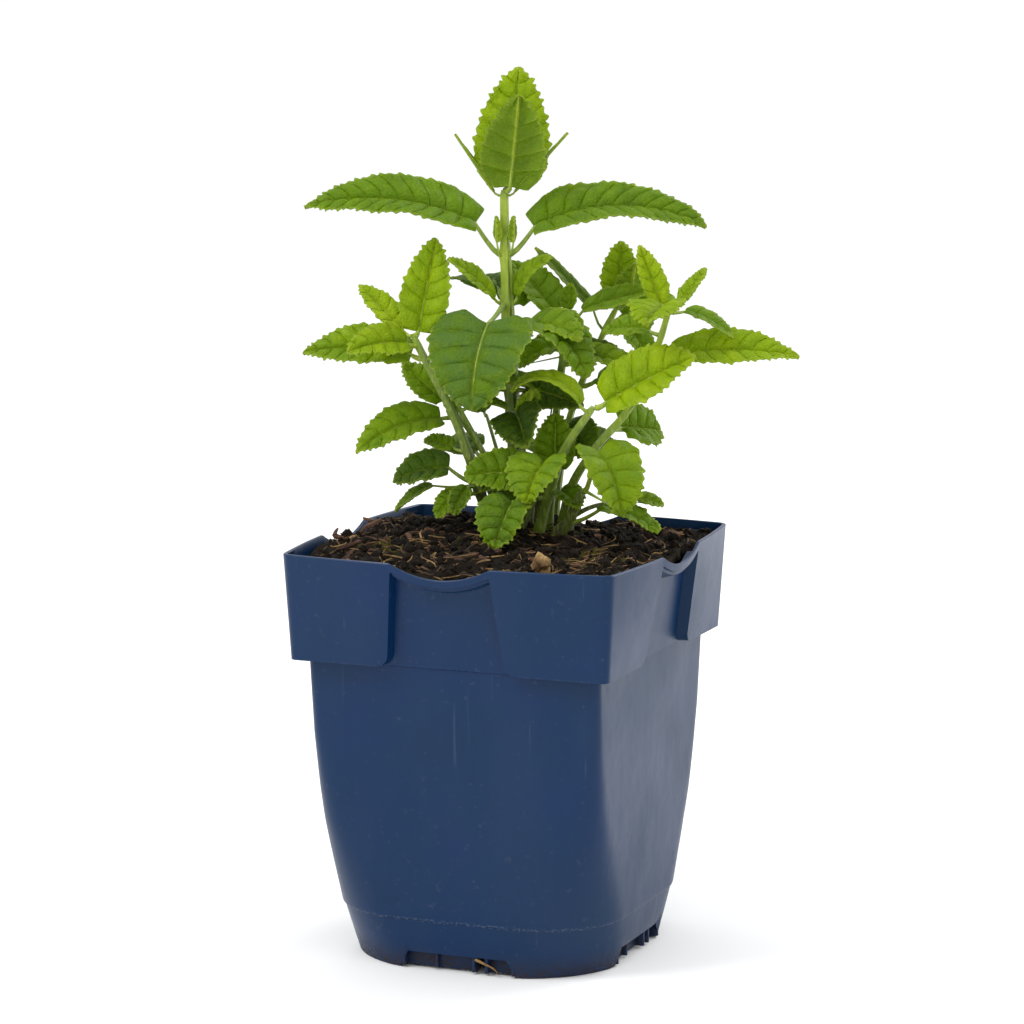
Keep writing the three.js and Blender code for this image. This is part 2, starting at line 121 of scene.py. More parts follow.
SHOOTS = {
    "main": (2.1, 1.3, [(3, 18, 0), (0.5, 18, 165), (-1, 18, 200), (-1.5, 18, 229)]),
    "left": (1.7, 1.0, [(-6, 12, 0), (-9, 10, 138), (-13, 8, 151), (-17.5, 6, 163), (-23, 5, 174),
                        (-29, 5, 186)]),
    "thin_left": (1.0, 0.8, [(-2, 24, 0), (-7, 21, 146), (-12, 19, 155), (-17, 16, 162)]),
    "front": (1.6, 1.2, [(9, 5, 0), (12, 2, 138), (16.5, -2, 152), (25, -8, 166)]),
    "middle": (1.4, 1.0, [(9, 22, 0), (13, 21, 150), (16.3, 20, 176), (17, 20, 188)]),
    "back_right": (1.3, 0.9, [(14, 28, 0), (18, 28, 155), (24.5, 28, 174), (30, 28, 186), (33, 28, 192)]),
    "far_right": (1.6, 1.0, [(16, 12, 0), (19, 6, 140), (26, -3, 153), (36, -3, 165), (44, -2, 182),
                             (48, -2, 195)]),
    "low_right": (1.5, 1.1, [(17, 3, 0), (19, 0, 133), (22, -3, 140)]),
    "low_front": (1.4, 1.1, [(3, 3, 0), (6, 0, 136), (12.5, -4, 149)]),
}
# Thin stems that have no solid of their own in the part: they stand between the main ones.
SIDE_SHOOTS = {
    "slip_left": (0.8, 0.6, [(-3, 14, 0), (-7, 12, 140), (-14, 10, 154), (-19, 9, 163)]),
    "slip_near": (0.8, 0.6, [(0, 11, 0), (-4, 10, 140), (-10, 9, 154), (-17, 7, 167)]),
    "slip_back": (0.7, 0.5, [(1, 20, 0), (-3, 21, 146), (-7, 22, 160)]),
    "slip_root": (1.2, 0.8, [(6, 10, 0), (7, 8, 136), (8, 6, 150)]),
    "slip_pale": (1.3, 0.7, [(12, 12, 0), (13, 10, 136), (16, 8, 158)]),
    "slip_low": (1.0, 0.6, [(13, 5, 0), (24, 1, 134), (36, -2, 137)]),
    "slip_bud": (0.8, 0.5, [(5, 14, 0), (4.5, 13, 150), (4.5, 12, 160)]),
}
ALL_SHOOTS = {**SHOOTS, **SIDE_SHOOTS}

# Each leaf: shoot, place along it, direction, stalk length, stalk rise, blade length, blade width,
# rise of the blade at its base, droop, roll, heart, then tone (0 young, 1 old) and bloom (0 glossy,
# 1 grey).
LEAVES = {
    "top_back": ("main", 1, 60, 1, 70, 36, 22, 81, 2, 30, 0.5, 0.18, 0),
    "top_front": ("main", 1, -50, 1, 70, 28, 19, 81, 0, -40, 0.6, 0.62, 0.1),
    "top_left": ("main", 0.985, 180, 1, 50, 21, 3.4, 56, 0, 0, 0, 0.6, 0),
    "top_right": ("main", 0.985, 0, 1, 50, 24, 3.4, 48, 0, 0, 0, 0.6, 0),
    "upper_left": ("main", 0.81, 182, 11, 55, 53, 18, 26, 41, -38, 0.6, 0.55, 0.15),
    "upper_right": ("main", 0.81, -2, 10, 52, 54, 18, 27, 54, 36, 0.6, 0.6, 0.15),
    "bud_left": ("main", 0.805, 225, 4, 75, 8, 3.6, 88, 0, 0, 0, 0.4, 0),
    "bud_right": ("main", 0.805, -45, 4, 75, 8, 3.6, 88, 0, 0, 0, 0.4, 0),
    "mid_left": ("main", 0.66, 205, 2, 50, 20, 8, 46, 14, -45, 0, 0.3, 0),
    "mid_right": ("main", 0.66, -12, 2, 72, 17, 7, 78, 60, 45, 0, 0.35, 0),
    "mid_back": ("main", 0.67, 108, 5, 30, 24, 24, 20, 40, 0, 0.6, 0.9, 0.2),
    "mid_front": ("main", 0.66, 250, 14, -18, 30, 32, -30, 60, 0, 1, 0.72, 0.75),
    "main_drop": ("main", 0.59, -40, 6, 15, 28, 19, 0, 70, 10, 0.4, 0.6, 0),
    "deep_left": ("main", 0.4, 192, 1, 0, 8, 10, -5, 20, -30, 0.3, 0.9, 0),
    "deep_right": ("main", 0.4, -27, 2, 0, 20, 14, 0, 25, 45, 0.3, 1.0, 0),
    "fork_left": ("middle", 1, 143, 4, 55, 22, 15, 46, 10, -15, 0.3, 0.45, 0.1),
    "fork_middle": ("middle", 1, 60, 4, 85, 8, 6, 78, 0, 0, 0, 0.5, 0),
    "fork_right": ("middle", 1, 0, 5, 50, 25, 9, 24, 20, 35, 0, 0.55, 0),
    "middle_low": ("middle", 0.84, 5, 3, 30, 15, 9, 5, 45, 30, 0, 0.95, 0.2),
    "slim_left": ("back_right", 0.9, 165, 6, 70, 26, 6, 45, 0, -20, 0, 0.8, 0.2),
    "crest_back": ("back_right", 1, 70, 2, 80, 18, 12, 83, 0, 20, 0.3, 0.2, 0),
    "crest_front": ("back_right", 1, -35, 3, 45, 12, 10, 72, -10, -40, 0.4, 0.5, 0),
    "crest_right": ("back_right", 0.9, -35, 4, 35, 16, 10, -30, 40, 20, 0.3, 0.6, 0),
    "far_up": ("far_right", 1, 150, 1, 60, 19, 8, 66, 0, -50, 0.2, 0.15, 0),
    "far_tip": ("far_right", 1, 20, 2, 45, 13, 6, 50, 0, 20, 0, 0.3, 0),
    "far_front": ("far_right", 1, 248, 2, 10, 16, 18, 5, 35, 0, 0.4, 0.25, 0),
    "far_slim": ("far_right", 0.985, -18, 3, 10, 17, 7, -10, 35, 20, 0, 0.45, 0.3),
    "far_long": ("far_right", 0.8, -8, 4, 20, 38, 14, 11, 22, 40, 0.2, 0.22, 0),
    "broad_right": ("front", 1, -15, 2, 40, 31, 20, 34, 12, 50, 0.2, 0.2, 0),
    "arch_left": ("front", 0.97, 168, 2, 55, 25, 8, 66, 115, -20, 0, 0.25, 0),
    "under_right": ("far_right", 0.5, 45, 1, 0, 18, 17, -2, 15, 50, 0.6, 0.5, 0),
    "front_up": ("front", 0.4, 85, 2, 75, 17, 13, 80, 0, 0, 0.3, 0.5, 0),
    "round_front": ("low_front", 1, 240, 1, 0, 16, 19, -15, 60, 0, 1, 0.35, 0.25),
    "broad_left": ("low_front", 0.7, 175, 3, 40, 18, 15, 10, 25, -50, 0.3, 0.55, 0.05),
    "low_round": ("low_front", 0.36, 240, 7, 20, 17, 18, -35, 36, 0, 0.9, 0.6, 0.25),
    "big_round": ("low_right", 1, -60, 14, 65, 23, 21, -20, 65, 0, 1, 0.35, 0.05),
    "low_point": ("low_right", 0.3, -25, 9, 30, 20, 12, -5, 25, 10, 0.2, 0.5, 0.1),
    "tall_left": ("left", 1, 56, 1, 60, 29, 15, 71, 0, 34, 0.3, 0.25, 0),
    "peak_left": ("left", 1, 150, 2, 45, 20, 9, 40, 0, -30, 0, 0.15, 0),
    "long_left": ("left", 0.88, 176, 2, 30, 33, 15, 14, 28, -45, 0.3, 0.35, 0.05),
    "over_left": ("left", 0.95, 217, 2, 20, 22, 12, 12, 30, -45, 0.2, 0.25, 0),
    "wing_left": ("thin_left", 1, 148, 3, 55, 18, 11, 36, 0, -40, 0.3, 0.4, 0),
    "wing_middle": ("thin_left", 1, 50, 3, 70, 11, 8, 72, 0, 0, 0.2, 0.3, 0),
    "wing_low": ("thin_left", 0.93, 205, 4, -5, 30, 13, 4, 44, -40, 0.2, 0.4, 0.05),
    "wing_right": ("thin_left", 0.97, -80, 2, 40, 9, 9, 42, 0, 20, 0.2, 0.4, 0),
    "dark_left": ("left", 0.22, 172, 7, 35, 18, 13, 0, 30, -40, 0.3, 0.85, 0.3),
    "slim_low": ("left", 0.2, 178, 11, 0, 14, 6, -25, 20, -20, 0, 0.7, 0.1),
    "small_left": ("left", 0.38, 155, 2, 20, 10, 7, 12, 0, -30, 0, 0.5, 0),
    "pair_left": ("left", 0.2, 228, 2, 0, 10, 7, -35, 35, -20, 0, 0.75, 0.1),
}
# Small leaves with no solid of their own in the part.
SIDE_LEAVES = {
    "slip_pair": ("left", 0.16, 200, 3, 0, 11, 8, -20, 40, -35, 0.3, 0.5, 0),
    "slip_tuft": ("slip_back", 0.98, 110, 1, 50, 10, 8, 30, 20, -20, 0.2, 0.75, 0),
    "slip_tip": ("slip_bud", 0.95, -70, 1, 50, 12, 8, 60, 0, -10, 0.2, 0.3, 0.2),
    "slip_side": ("slip_near", 0.9, 20, 1, 40, 13, 9, 20, 50, 20, 0.2, 0.6, 0),
    "back_low": ("back_right", 0.3, 30, 3, 30, 20, 15, 0, 30, 20, 0.3, 0.9, 0.2),
    "back_left": ("thin_left", 0.5, 130, 3, 30, 20, 14, 10, 30, -20, 0.3, 0.8, 0.1),
    "back_main": ("main", 0.5, 95, 3, 30, 26, 17, 10, 40, 0, 0.3, 0.7, 0.1),
    "back_high": ("main", 0.62, 75, 4, 40, 26, 15, 30, 30, 10, 0.3, 0.5, 0.1),
    "inner_low": ("slip_pale", 0.35, -60, 2, 20, 12, 10, 0, 40, 10, 0.4, 0.6, 0),
    "inner_left": ("slip_root", 0.55, 170, 2, 30, 15, 12, 0, 30, -30, 0.3, 0.75, 0),
    "inner_right": ("slip_pale", 0.8, 20, 2, 30, 16, 12, 10, 40, 30, 0.3, 0.85, 0),
    "fill_dark": ("main", 0.33, -80, 4, 10, 20, 16, -10, 30, 30, 0.5, 0.95, 0),
    "fill_left": ("main", 0.46, 230, 3, 20, 16, 13, 0, 40, -30, 0.5, 0.85, 0),
    "fill_right": ("middle", 0.45, -60, 4, 10, 18, 15, 0, 40, 30, 0.4, 0.8, 0),
    "fill_high": ("middle", 0.62, 200, 3, 40, 18, 12, 30, 30, -20, 0.3, 0.6, 0),
    "fill_far": ("back_right", 0.62, -30, 4, 30, 20, 13, 10, 40, 30, 0.3, 0.45, 0),
    "fill_crest": ("back_right", 0.93, 20, 3, 40, 18, 12, 30, 30, 30, 0.3, 0.35, 0),
    "fill_edge": ("far_right", 0.9, 150, 2, 20, 16, 11, 10, 30, -30, 0.3, 0.4, 0),
    "fill_low": ("front", 0.25, 200, 3, 10, 14, 12, -10, 40, -30, 0.5, 0.75, 0),
    "fill_back": ("middle", 0.3, 90, 3, 20, 20, 16, 10, 30, 0, 0.4, 0.8, 0),
    "fill_centre": ("main", 0.56, -40, 5, 30, 22, 15, 20, 50, 20, 0.3, 0.4, 0),
    "fill_join": ("middle", 0.8, -20, 3, 30, 20, 13, 10, 40, 20, 0.3, 0.35, 0),
    "fill_pale": ("back_right", 0.8, 190, 4, 20, 20, 14, 0, 40, -20, 0.3, 0.35, 0),
    "slip_end": ("slip_low", 1, 0, 1, 0, 8, 6, 0, 30, 30, 0.2, 0.5, 0),
}


def rad(angle):
    return math.radians(angle)


def mix(a, b, share):
    return a + (b - a) * share


def place(point):
    right, back, up = point
    turn = rad(PLANT_TURN)
    return np.array([right * math.cos(turn) - back * math.sin(turn),
                     right * math.sin(turn) + back * math.cos(turn), up])


def soil_height(x, y):
    crown = place((CROWN[0], CROWN[1], 0))
    away = math.hypot(x - crown[0], y - crown[1]) / SOIL_SPREAD
    return SOIL_EDGE + SOIL_MOUND * math.exp(-away * away)


def between(table, z):
    heights = [row[0] for row in table]
    values = [row[1] for row in table]
    return float(np.interp(z, heights, values))


# ---- helpers for new pieces ------------------------------------------------------------------
def start_clean():
    bpy.ops.object.select_all(action="DESELECT")


def make_active(piece):
    start_clean()
    piece.select_set(True)
    bpy.context.view_layer.objects.active = piece


def finish_piece(piece, name, replaced=None):
    piece.name = name
    piece.data.name = name
    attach(piece, BODY)
    if replaced:
        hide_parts(replaced)
    return piece


def paint(piece, *materials):
    for material in materials:
        piece.data.materials.append(material)


def edit_all(piece, *steps):
    """Edit-mode steps on the whole mesh."""
    make_active(piece)
    bpy.ops.object.mode_set(mode="EDIT")
    bpy.ops.mesh.select_all(action="SELECT")
    for step in steps:
        step()
    bpy.ops.object.mode_set(mode="OBJECT")


def apply_modifier(piece, kind, **values):
    make_active(piece)
    modifier = piece.modifiers.new(kind.lower(), kind)
    for key, value in values.items():
        setattr(modifier, key, value)
    bpy.ops.object.modifier_apply(modifier=modifier.name)


def grid_sheet(columns, rows):
    """A flat grid whose vertices run column by column within each row."""
    start_clean()
    bpy.ops.mesh.primitive_grid_add(x_subdivisions=columns, y_subdivisions=rows, size=2)
    return bpy.context.object


def put_points(piece, points):
    flat = (np.asarray(points, dtype=np.float64) * MM).ravel()
    piece.data.vertices.foreach_set("co", flat)
    piece.data.update()


def wrapped_tube(rings, caps=True):
    """A closed tube from rings of points: the grid is wrapped round, its seam merged and its ends filled."""
    rings = np.asarray(rings, dtype=np.float64)
    rows, around = rings.shape[0], rings.shape[1]
    closed = np.concatenate([rings, rings[:, :1]], axis=1)
    piece = grid_sheet(around, rows - 1)
    put_points(piece, closed.reshape(-1, 3))
    make_active(piece)
    bpy.ops.object.mode_set(mode="EDIT")
    bpy.ops.mesh.select_all(action="SELECT")
    bpy.ops.mesh.remove_doubles(threshold=1e-7)
    if caps:
        bpy.ops.mesh.select_all(action="DESELECT")
        bpy.ops.mesh.select_mode(type="VERT")
        bpy.ops.mesh.select_non_manifold(extend=False)
        bpy.ops.mesh.fill()
    bpy.ops.mesh.select_all(action="SELECT")
    bpy.ops.mesh.normals_make_consistent(inside=False)
    bpy.ops.object.mode_set(mode="OBJECT")
    return piece


def smooth_by_angle(piece, angle):
    make_active(piece)
    bpy.ops.object.shade_smooth_by_angle(angle=rad(angle))


def join_pieces(first, others):
    start_clean()
    for other in others:
        other.select_set(True)
    first.select_set(True)
    bpy.context.view_layer.objects.active = first
    bpy.ops.object.join()
    return first


def give_attribute(piece, name, values):
    values = np.asarray(values, dtype=np.float32)
    attribute = piece.data.attributes.new(name, "FLOAT_COLOR", "POINT")
    full = np.ones((len(values), 4), dtype=np.float32)
    full[:, :values.shape[1]] = values
    attribute.data.foreach_set("color", full.ravel())


# ---- materials ---------------------------------------------------------------------------------
class Nodes:
    """Short words for building the nodes of a material, or of a shared group if it has outputs."""

    def __init__(self, name, takes=(), gives=()):
        if not gives:
            self.material = bpy.data.materials.new(name)
            self.material.use_nodes = True
            self.tree = self.material.node_tree
            self.shader = self.tree.nodes["Principled BSDF"]
            self.output = self.tree.nodes["Material Output"]
            return
        self.tree = bpy.data.node_groups.new(name, "ShaderNodeTree")
        for socket, kind in takes:
            self.tree.interface.new_socket(socket, in_out="INPUT", socket_type=kind)
        for socket in gives:
            self.tree.interface.new_socket(socket, in_out="OUTPUT", socket_type="NodeSocketFloat")
        self.start, self.output = self.add("NodeGroupInput"), self.add("NodeGroupOutput")

    def add(self, kind, **values):
        node = self.tree.nodes.new(kind)
        for key, value in values.items():
            if key.startswith("in_"):
                node.inputs[key[3:].replace("_", " ")].default_value = value
            else:
                setattr(node, key, value)
        return node

    def link(self, a, b):
        self.tree.links.new(a, b)

    def place(self):
        return self.add("ShaderNodeTexCoord").outputs["Object"]

    def channels(self, colour):
        """The three channels of a colour socket, or of the piece's attribute of that name."""
        if isinstance(colour, str):
            colour = self.add("ShaderNodeAttribute", attribute_name=colour).outputs["Color"]
        split = self.add("ShaderNodeSeparateColor")
        self.link(colour, split.inputs[0])
        return split.outputs

    def math(self, operation, a, b=None, c=None, clamp=False):
        node = self.add("ShaderNodeMath", operation=operation, use_clamp=clamp)
        for index, value in enumerate((a, b, c)):
            if value is None:
                continue
            if isinstance(value, (int, float)):
                node.inputs[index].default_value = value
            else:
                self.link(value, node.inputs[index])
        return node.outputs[0]

    def blend(self, share, a, b, how="MIX"):
        node = self.add("ShaderNodeMix", data_type="RGBA", blend_type=how)
        for socket, value in ((node.inputs[0], share), (node.inputs[6], a), (node.inputs[7], b)):
            if isinstance(value, (int, float)):
                socket.default_value = value
            elif isinstance(value, tuple):
                socket.default_value = (*value, 1)
            else:
                self.link(value, socket)
        return node.outputs[2]

    def noise(self, scale, detail=3, roughness=0.5, vector=None):
        node = self.add("ShaderNodeTexNoise", in_Scale=scale, in_Detail=detail, in_Roughness=roughness)
        if vector is not None:
            self.link(vector, node.inputs["Vector"])
        return node.outputs["Fac"]

    def ramp(self, value, low, high, to_low=0.0, to_high=1.0):
        node = self.add("ShaderNodeMapRange", interpolation_type="SMOOTHSTEP")
        self.link(value, node.inputs[0])
        for index, number in zip((1, 2, 3, 4), (low, high, to_low, to_high)):
            node.inputs[index].default_value = number
        return node.outputs[0]

    def bump(self, height, strength, distance, normal=None):
        node = self.add("ShaderNodeBump", in_Strength=strength, in_Distance=distance)
        self.link(height, node.inputs["Height"])
        if normal is not None:
            self.link(normal, node.inputs["Normal"])
        return node.outputs["Normal"]


def srgb(r, g, b):
    def linear(c):
        c /= 255
        return c / 12.92 if c <= 0.04045 else ((c + 0.055) / 1.055) ** 2.4
    return (linear(r), linear(g), linear(b))


def make_venation():
    """Shared: masks of a leaf's midrib, side veins and fine net, from the blade's own coordinates."""
    n = Nodes("venation", (("Blade", "NodeSocketColor"), ("Position", "NodeSocketVector")),
              ("Midrib", "Side veins", "Net", "Margin"))
    across, along, edge = n.channels(n.start.outputs["Blade"])
    saw = n.math("SUBTRACT", n.math("FRACT", along), 0.5)
    saw = n.math("SUBTRACT", 0.5, n.math("ABSOLUTE", saw))
    inner = n.ramp(n.math("MULTIPLY", edge, -1.0), -0.5, -2.5, 1, 0)
    net = n.add("ShaderNodeTexVoronoi", feature="DISTANCE_TO_EDGE", in_Scale=620)
    n.link(n.start.outputs["Position"], net.inputs["Vector"])
    n.link(n.ramp(across, 0.15, 0.6, 1, 0), n.output.inputs["Midrib"])
    n.link(n.math("MULTIPLY", n.ramp(saw, 0.02, 0.075, 1, 0), inner), n.output.inputs["Side veins"])
    n.link(n.ramp(net.outputs["Distance"], 0.0, 0.16, 1, 0), n.output.inputs["Net"])
    n.link(n.ramp(edge, 0.1, 0.7, 1, 0), n.output.inputs["Margin"])
    return n.tree


VENATION = make_venation()
YOUNG = srgb(164, 190, 0)
GROWN = srgb(106, 142, 0)
OLD = srgb(46, 78, 0)
BLOOM = srgb(88, 126, 52)


def leaf_material(name, under):
    n = Nodes(name)
    blade = n.add("ShaderNodeAttribute", attribute_name="blade")
    tones = n.channels("tone")
    place_ = n.place()
    veins = n.add("ShaderNodeGroup")
    veins.node_tree = VENATION
    n.link(blade.outputs["Color"], veins.inputs["Blade"])
    n.link(place_, veins.inputs["Position"])
    patch = n.noise(160, 3, vector=place_)
    fine = n.noise(900, 2, vector=place_)
    uneven = n.math("MULTIPLY", n.math("SUBTRACT", patch, 0.5), 0.45)
    age = n.math("ADD", tones[0], uneven, clamp=True)
    colour = n.blend(n.ramp(age, 0.0, 0.5), YOUNG, GROWN)
    colour = n.blend(n.ramp(age, 0.45, 1.0), colour, OLD)
    colour = n.blend(n.math("MULTIPLY", tones[1], n.ramp(patch, 0.3, 0.7)), colour, BLOOM)
    if under:
        colour = n.blend(0.3, colour, srgb(132, 158, 40))
    vein_colour = n.blend(0.6, colour, srgb(198, 208, 70))
    mask = n.math("MAXIMUM", veins.outputs["Midrib"], n.math("MULTIPLY", veins.outputs["Side veins"], 0.65))
    colour = n.blend(n.math("MULTIPLY", mask, 0.85), colour, vein_colour)
    colour = n.blend(n.math("MULTIPLY", veins.outputs["Net"], 0.16), colour, vein_colour)
    colour = n.blend(n.math("MULTIPLY", veins.outputs["Margin"], 0.35), colour, srgb(170, 190, 60))
    n.link(colour, n.shader.inputs["Base Color"])
    rough = n.ramp(patch, 0.2, 0.8, 0.42, 0.6)
    n.link(rough, n.shader.inputs["Roughness"])
    height = n.math("MULTIPLY", veins.outputs["Net"], 0.35 if under else -0.35)
    height = n.math("ADD", height, n.math("MULTIPLY", fine, 0.5))
    height = n.math("ADD", height, n.math("MULTIPLY", veins.outputs["Side veins"], 1.3 if under else -1.3))
    n.link(n.bump(height, 0.9, 0.0004), n.shader.inputs["Normal"])
    n.shader.inputs["IOR"].default_value = 1.42
    n.shader.inputs["Specular IOR Level"].default_value = 0.28
    glow = n.add("ShaderNodeBsdfTranslucent")
    n.link(n.blend(0.5, colour, srgb(186, 214, 0), "MIX"), glow.inputs["Color"])
    share = n.add("ShaderNodeMixShader", in_Fac=0.34)
    n.link(n.shader.outputs[0], share.inputs[1])
    n.link(glow.outputs[0], share.inputs[2])
    n.link(share.outputs[0], n.output.inputs["Surface"])
    return n.material


def stem_material():
    n = Nodes("catmint_stem")
    tones = n.channels("tone")
    place_ = n.place()
    patch = n.noise(240, 3, vector=place_)
    streak = n.add("ShaderNodeMapping", in_Scale=(1, 1, 0.12))
    n.link(place_, streak.inputs["Vector"])
    lines = n.noise(1600, 2, vector=streak.outputs[0])
    colour = n.blend(n.ramp(tones[0], 0.0, 0.6), srgb(150, 172, 32), srgb(104, 130, 24))
    colour = n.blend(n.ramp(tones[0], 0.5, 1.0), colour, srgb(80, 88, 30))
    colour = n.blend(n.ramp(patch, 0.4, 0.8, 0, 0.5), colour, srgb(86, 108, 26))
    colour = n.blend(n.ramp(lines, 0.45, 0.75, 0, 0.35), colour, srgb(190, 204, 100))
    n.link(colour, n.shader.inputs["Base Color"])
    n.shader.inputs["Roughness"].default_value = 0.5
    n.shader.inputs["Sheen Weight"].default_value = 0.15
    n.link(n.bump(lines, 0.5, 0.0002), n.shader.inputs["Normal"])
    return n.material


def make_wear():
    """Shared: rubbed streaks, fine scratches and dust for moulded plastic."""
    n = Nodes("moulded_wear", (("Position", "NodeSocketVector"),), ("Streaks", "Scratches", "Dust"))
    for name, scale, drawn_out, detail, low, high in (("Streaks", 60, 0.25, 4, 0.35, 0.75),
                                                      ("Scratches", 420, 0.05, 2, 0.68, 0.8),
                                                      ("Dust", 500, 1, 3, 0.62, 0.8)):
        stretched = n.add("ShaderNodeMapping", in_Scale=(1, 1, drawn_out))
        n.link(n.start.outputs["Position"], stretched.inputs["Vector"])
        n.link(n.ramp(n.noise(scale, detail, vector=stretched.outputs[0]), low, high), n.output.inputs[name])
    return n.tree


WEAR = make_wear()


def plastic_material():
    n = Nodes("blue_plastic")
    place_ = n.place()
    wear = n.add("ShaderNodeGroup")
    wear.node_tree = WEAR
    n.link(place_, wear.inputs["Position"])
    # The attribute's first channel is real dirt; its second is a painted highlight along the seam step and
    # the band's lower edge.
    mark_shares = n.channels("grime_and_highlight")
    cloud = n.noise(28, 3, vector=place_)
    colour = n.blend(n.ramp(cloud, 0.3, 0.7), srgb(0, 38, 78), srgb(2, 40, 73))
    colour = n.blend(n.math("MULTIPLY", wear.outputs["Streaks"], 0.2), colour, srgb(34, 52, 86))
    colour = n.blend(n.math("MULTIPLY", wear.outputs["Scratches"], 0.08), colour, srgb(120, 132, 158))
    colour = n.blend(n.math("MULTIPLY", wear.outputs["Dust"], 0.1), colour, srgb(130, 132, 136))
    speck = n.noise(1400, 2, vector=place_)
    stain = n.math("MULTIPLY", mark_shares[0], n.ramp(speck, 0.35, 0.6), clamp=True)
    colour = n.blend(stain, colour, srgb(46, 36, 28))
    # Painted highlight: a pale blue-grey line on the seam ledge and the band's lower edge, standing in for
    # light caught by those edges.
    edge_highlight = n.math("MULTIPLY", mark_shares[1], n.ramp(speck, 0.5, 0.62, 0, 0.6), clamp=True)
    colour = n.blend(edge_highlight, colour, srgb(150, 160, 180))
    n.link(colour, n.shader.inputs["Base Color"])
    rough = n.math("ADD", n.ramp(cloud, 0.2, 0.8, 0.3, 0.42), n.math("MULTIPLY", wear.outputs["Dust"], 0.15))
    rough = n.math("ADD", rough, n.math("MULTIPLY", stain, 0.4), clamp=True)
    n.link(rough, n.shader.inputs["Roughness"])
    grain = n.noise(2600, 2, vector=place_)
    wave = n.noise(70, 2, vector=place_)
    normal = n.bump(wave, 0.25, 0.0012)
    cut = n.math("MULTIPLY", wear.outputs["Scratches"], -0.6)
    normal = n.bump(n.math("ADD", grain, cut), 0.12, 0.0001, normal)
    n.link(normal, n.shader.inputs["Normal"])
    n.shader.inputs["IOR"].default_value = 1.5
    n.shader.inputs["Specular IOR Level"].default_value = 0.22
    return n.material


def soil_material(name, dark, light, mossy=False):
    n = Nodes(name)
    place_ = n.place()
    coarse = n.noise(170, 5, 0.65, vector=place_)
    fine = n.noise(1300, 4, 0.7, vector=place_)
    colour = n.blend(n.ramp(coarse, 0.35, 0.7), dark, light)
    colour = n.blend(n.ramp(fine, 0.5, 0.75, 0, 0.6), colour, tuple(min(1.0, c * 2.2) for c in light))
    if mossy:
        moss = n.ramp(n.noise(45, 3, vector=place_), 0.56, 0.66)
        colour = n.blend(n.math("MULTIPLY", moss, 0.6), colour, srgb(84, 78, 28))
    n.link(colour, n.shader.inputs["Base Color"])
    n.shader.inputs["Roughness"].default_value = 0.92
    n.shader.inputs["Specular IOR Level"].default_value = 0.2
    n.link(n.bump(n.math("ADD", fine, coarse), 0.9, 0.0009), n.shader.inputs["Normal"])
    return n.material


def fibre_material(name, pale, deep):
    n = Nodes(name)
    place_ = n.place()
    coarse = n.noise(110, 2, vector=place_)
    fine = n.noise(1500, 3, vector=place_)
    colour = n.blend(n.ramp(coarse, 0.35, 0.65), deep, pale)
    colour = n.blend(n.ramp(fine, 0.4, 0.8, 0, 0.5), colour, tuple(c * 0.4 for c in deep))
    n.link(colour, n.shader.inputs["Base Color"])
    n.shader.inputs["Roughness"].default_value = 0.8
    n.link(n.bump(fine, 0.8, 0.0004), n.shader.inputs["Normal"])
    return n.material


BLADE_UPPER = leaf_material("catmint_leaf_upper", False)
BLADE_UNDER = leaf_material("catmint_leaf_under", True)
STEM = stem_material()
PLASTIC = plastic_material()
COMPOST = soil_material("compost", srgb(10, 7, 4), srgb(34, 25, 15), True)
CRUMB = soil_material("compost_crumb", srgb(10, 7, 5), srgb(38, 28, 17))
STRAW = fibre_material("straw_fibre", srgb(168, 136, 84), srgb(96, 70, 36))
ROOTLET = fibre_material("dark_fibre", srgb(96, 68, 40), srgb(52, 36, 22))
BARK = fibre_material("bark_chip", srgb(112, 76, 52), srgb(62, 38, 26))


# ---- stems ---------------------------------------------------------------------------------------
def spline(points, steps):
    """Points along a centripetal curve through the given ones, spaced evenly by length."""
    p = [np.asarray(q, dtype=float) for q in points]
    p = [2 * p[0] - p[1]] + p + [2 * p[-1] - p[-2]]
    dense = []
    for i in range(1, len(p) - 2):
        a, b, c, d = p[i - 1], p[i], p[i + 1], p[i + 2]
        t0 = 0.0
        t1 = t0 + max(np.linalg.norm(b - a), 1e-6) ** 0.5
        t2 = t1 + max(np.linalg.norm(c - b), 1e-6) ** 0.5
        t3 = t2 + max(np.linalg.norm(d - c), 1e-6) ** 0.5
        for t in np.linspace(t1, t2, 40, endpoint=False):
            ab = (t1 - t) / (t1 - t0) * a + (t - t0) / (t1 - t0) * b
            bc = (t2 - t) / (t2 - t1) * b + (t - t1) / (t2 - t1) * c
            cd = (t3 - t) / (t3 - t2) * c + (t - t2) / (t3 - t2) * d
            low = (t2 - t) / (t2 - t0) * ab + (t - t0) / (t2 - t0) * bc
            high = (t3 - t) / (t3 - t1) * bc + (t - t1) / (t3 - t1) * cd
            dense.append((t2 - t) / (t2 - t1) * low + (t - t1) / (t2 - t1) * high)
    dense.append(p[-2])
    dense = np.array(dense)
    length = np.concatenate([[0], np.cumsum(np.linalg.norm(np.diff(dense, axis=0), axis=1))])
    wanted = np.linspace(0, length[-1], steps)
    return np.stack([np.interp(wanted, length, dense[:, k]) for k in range(3)], axis=1)


def shoot_points(name, steps=201):
    foot, *rest = ALL_SHOOTS[name][2]
    base = place(foot)
    base[2] = soil_height(base[0], base[1]) + GAP
    return spline([base] + [place(point) for point in rest], steps)


SHOOT_LINES = {name: shoot_points(name) for name in ALL_SHOOTS}


def shoot_radius(name, along):
    return mix(ALL_SHOOTS[name][0], ALL_SHOOTS[name][1], along)


def directions(points):
    way = np.gradient(points, axis=0)
    return way / np.linalg.norm(way, axis=1, keepdims=True)


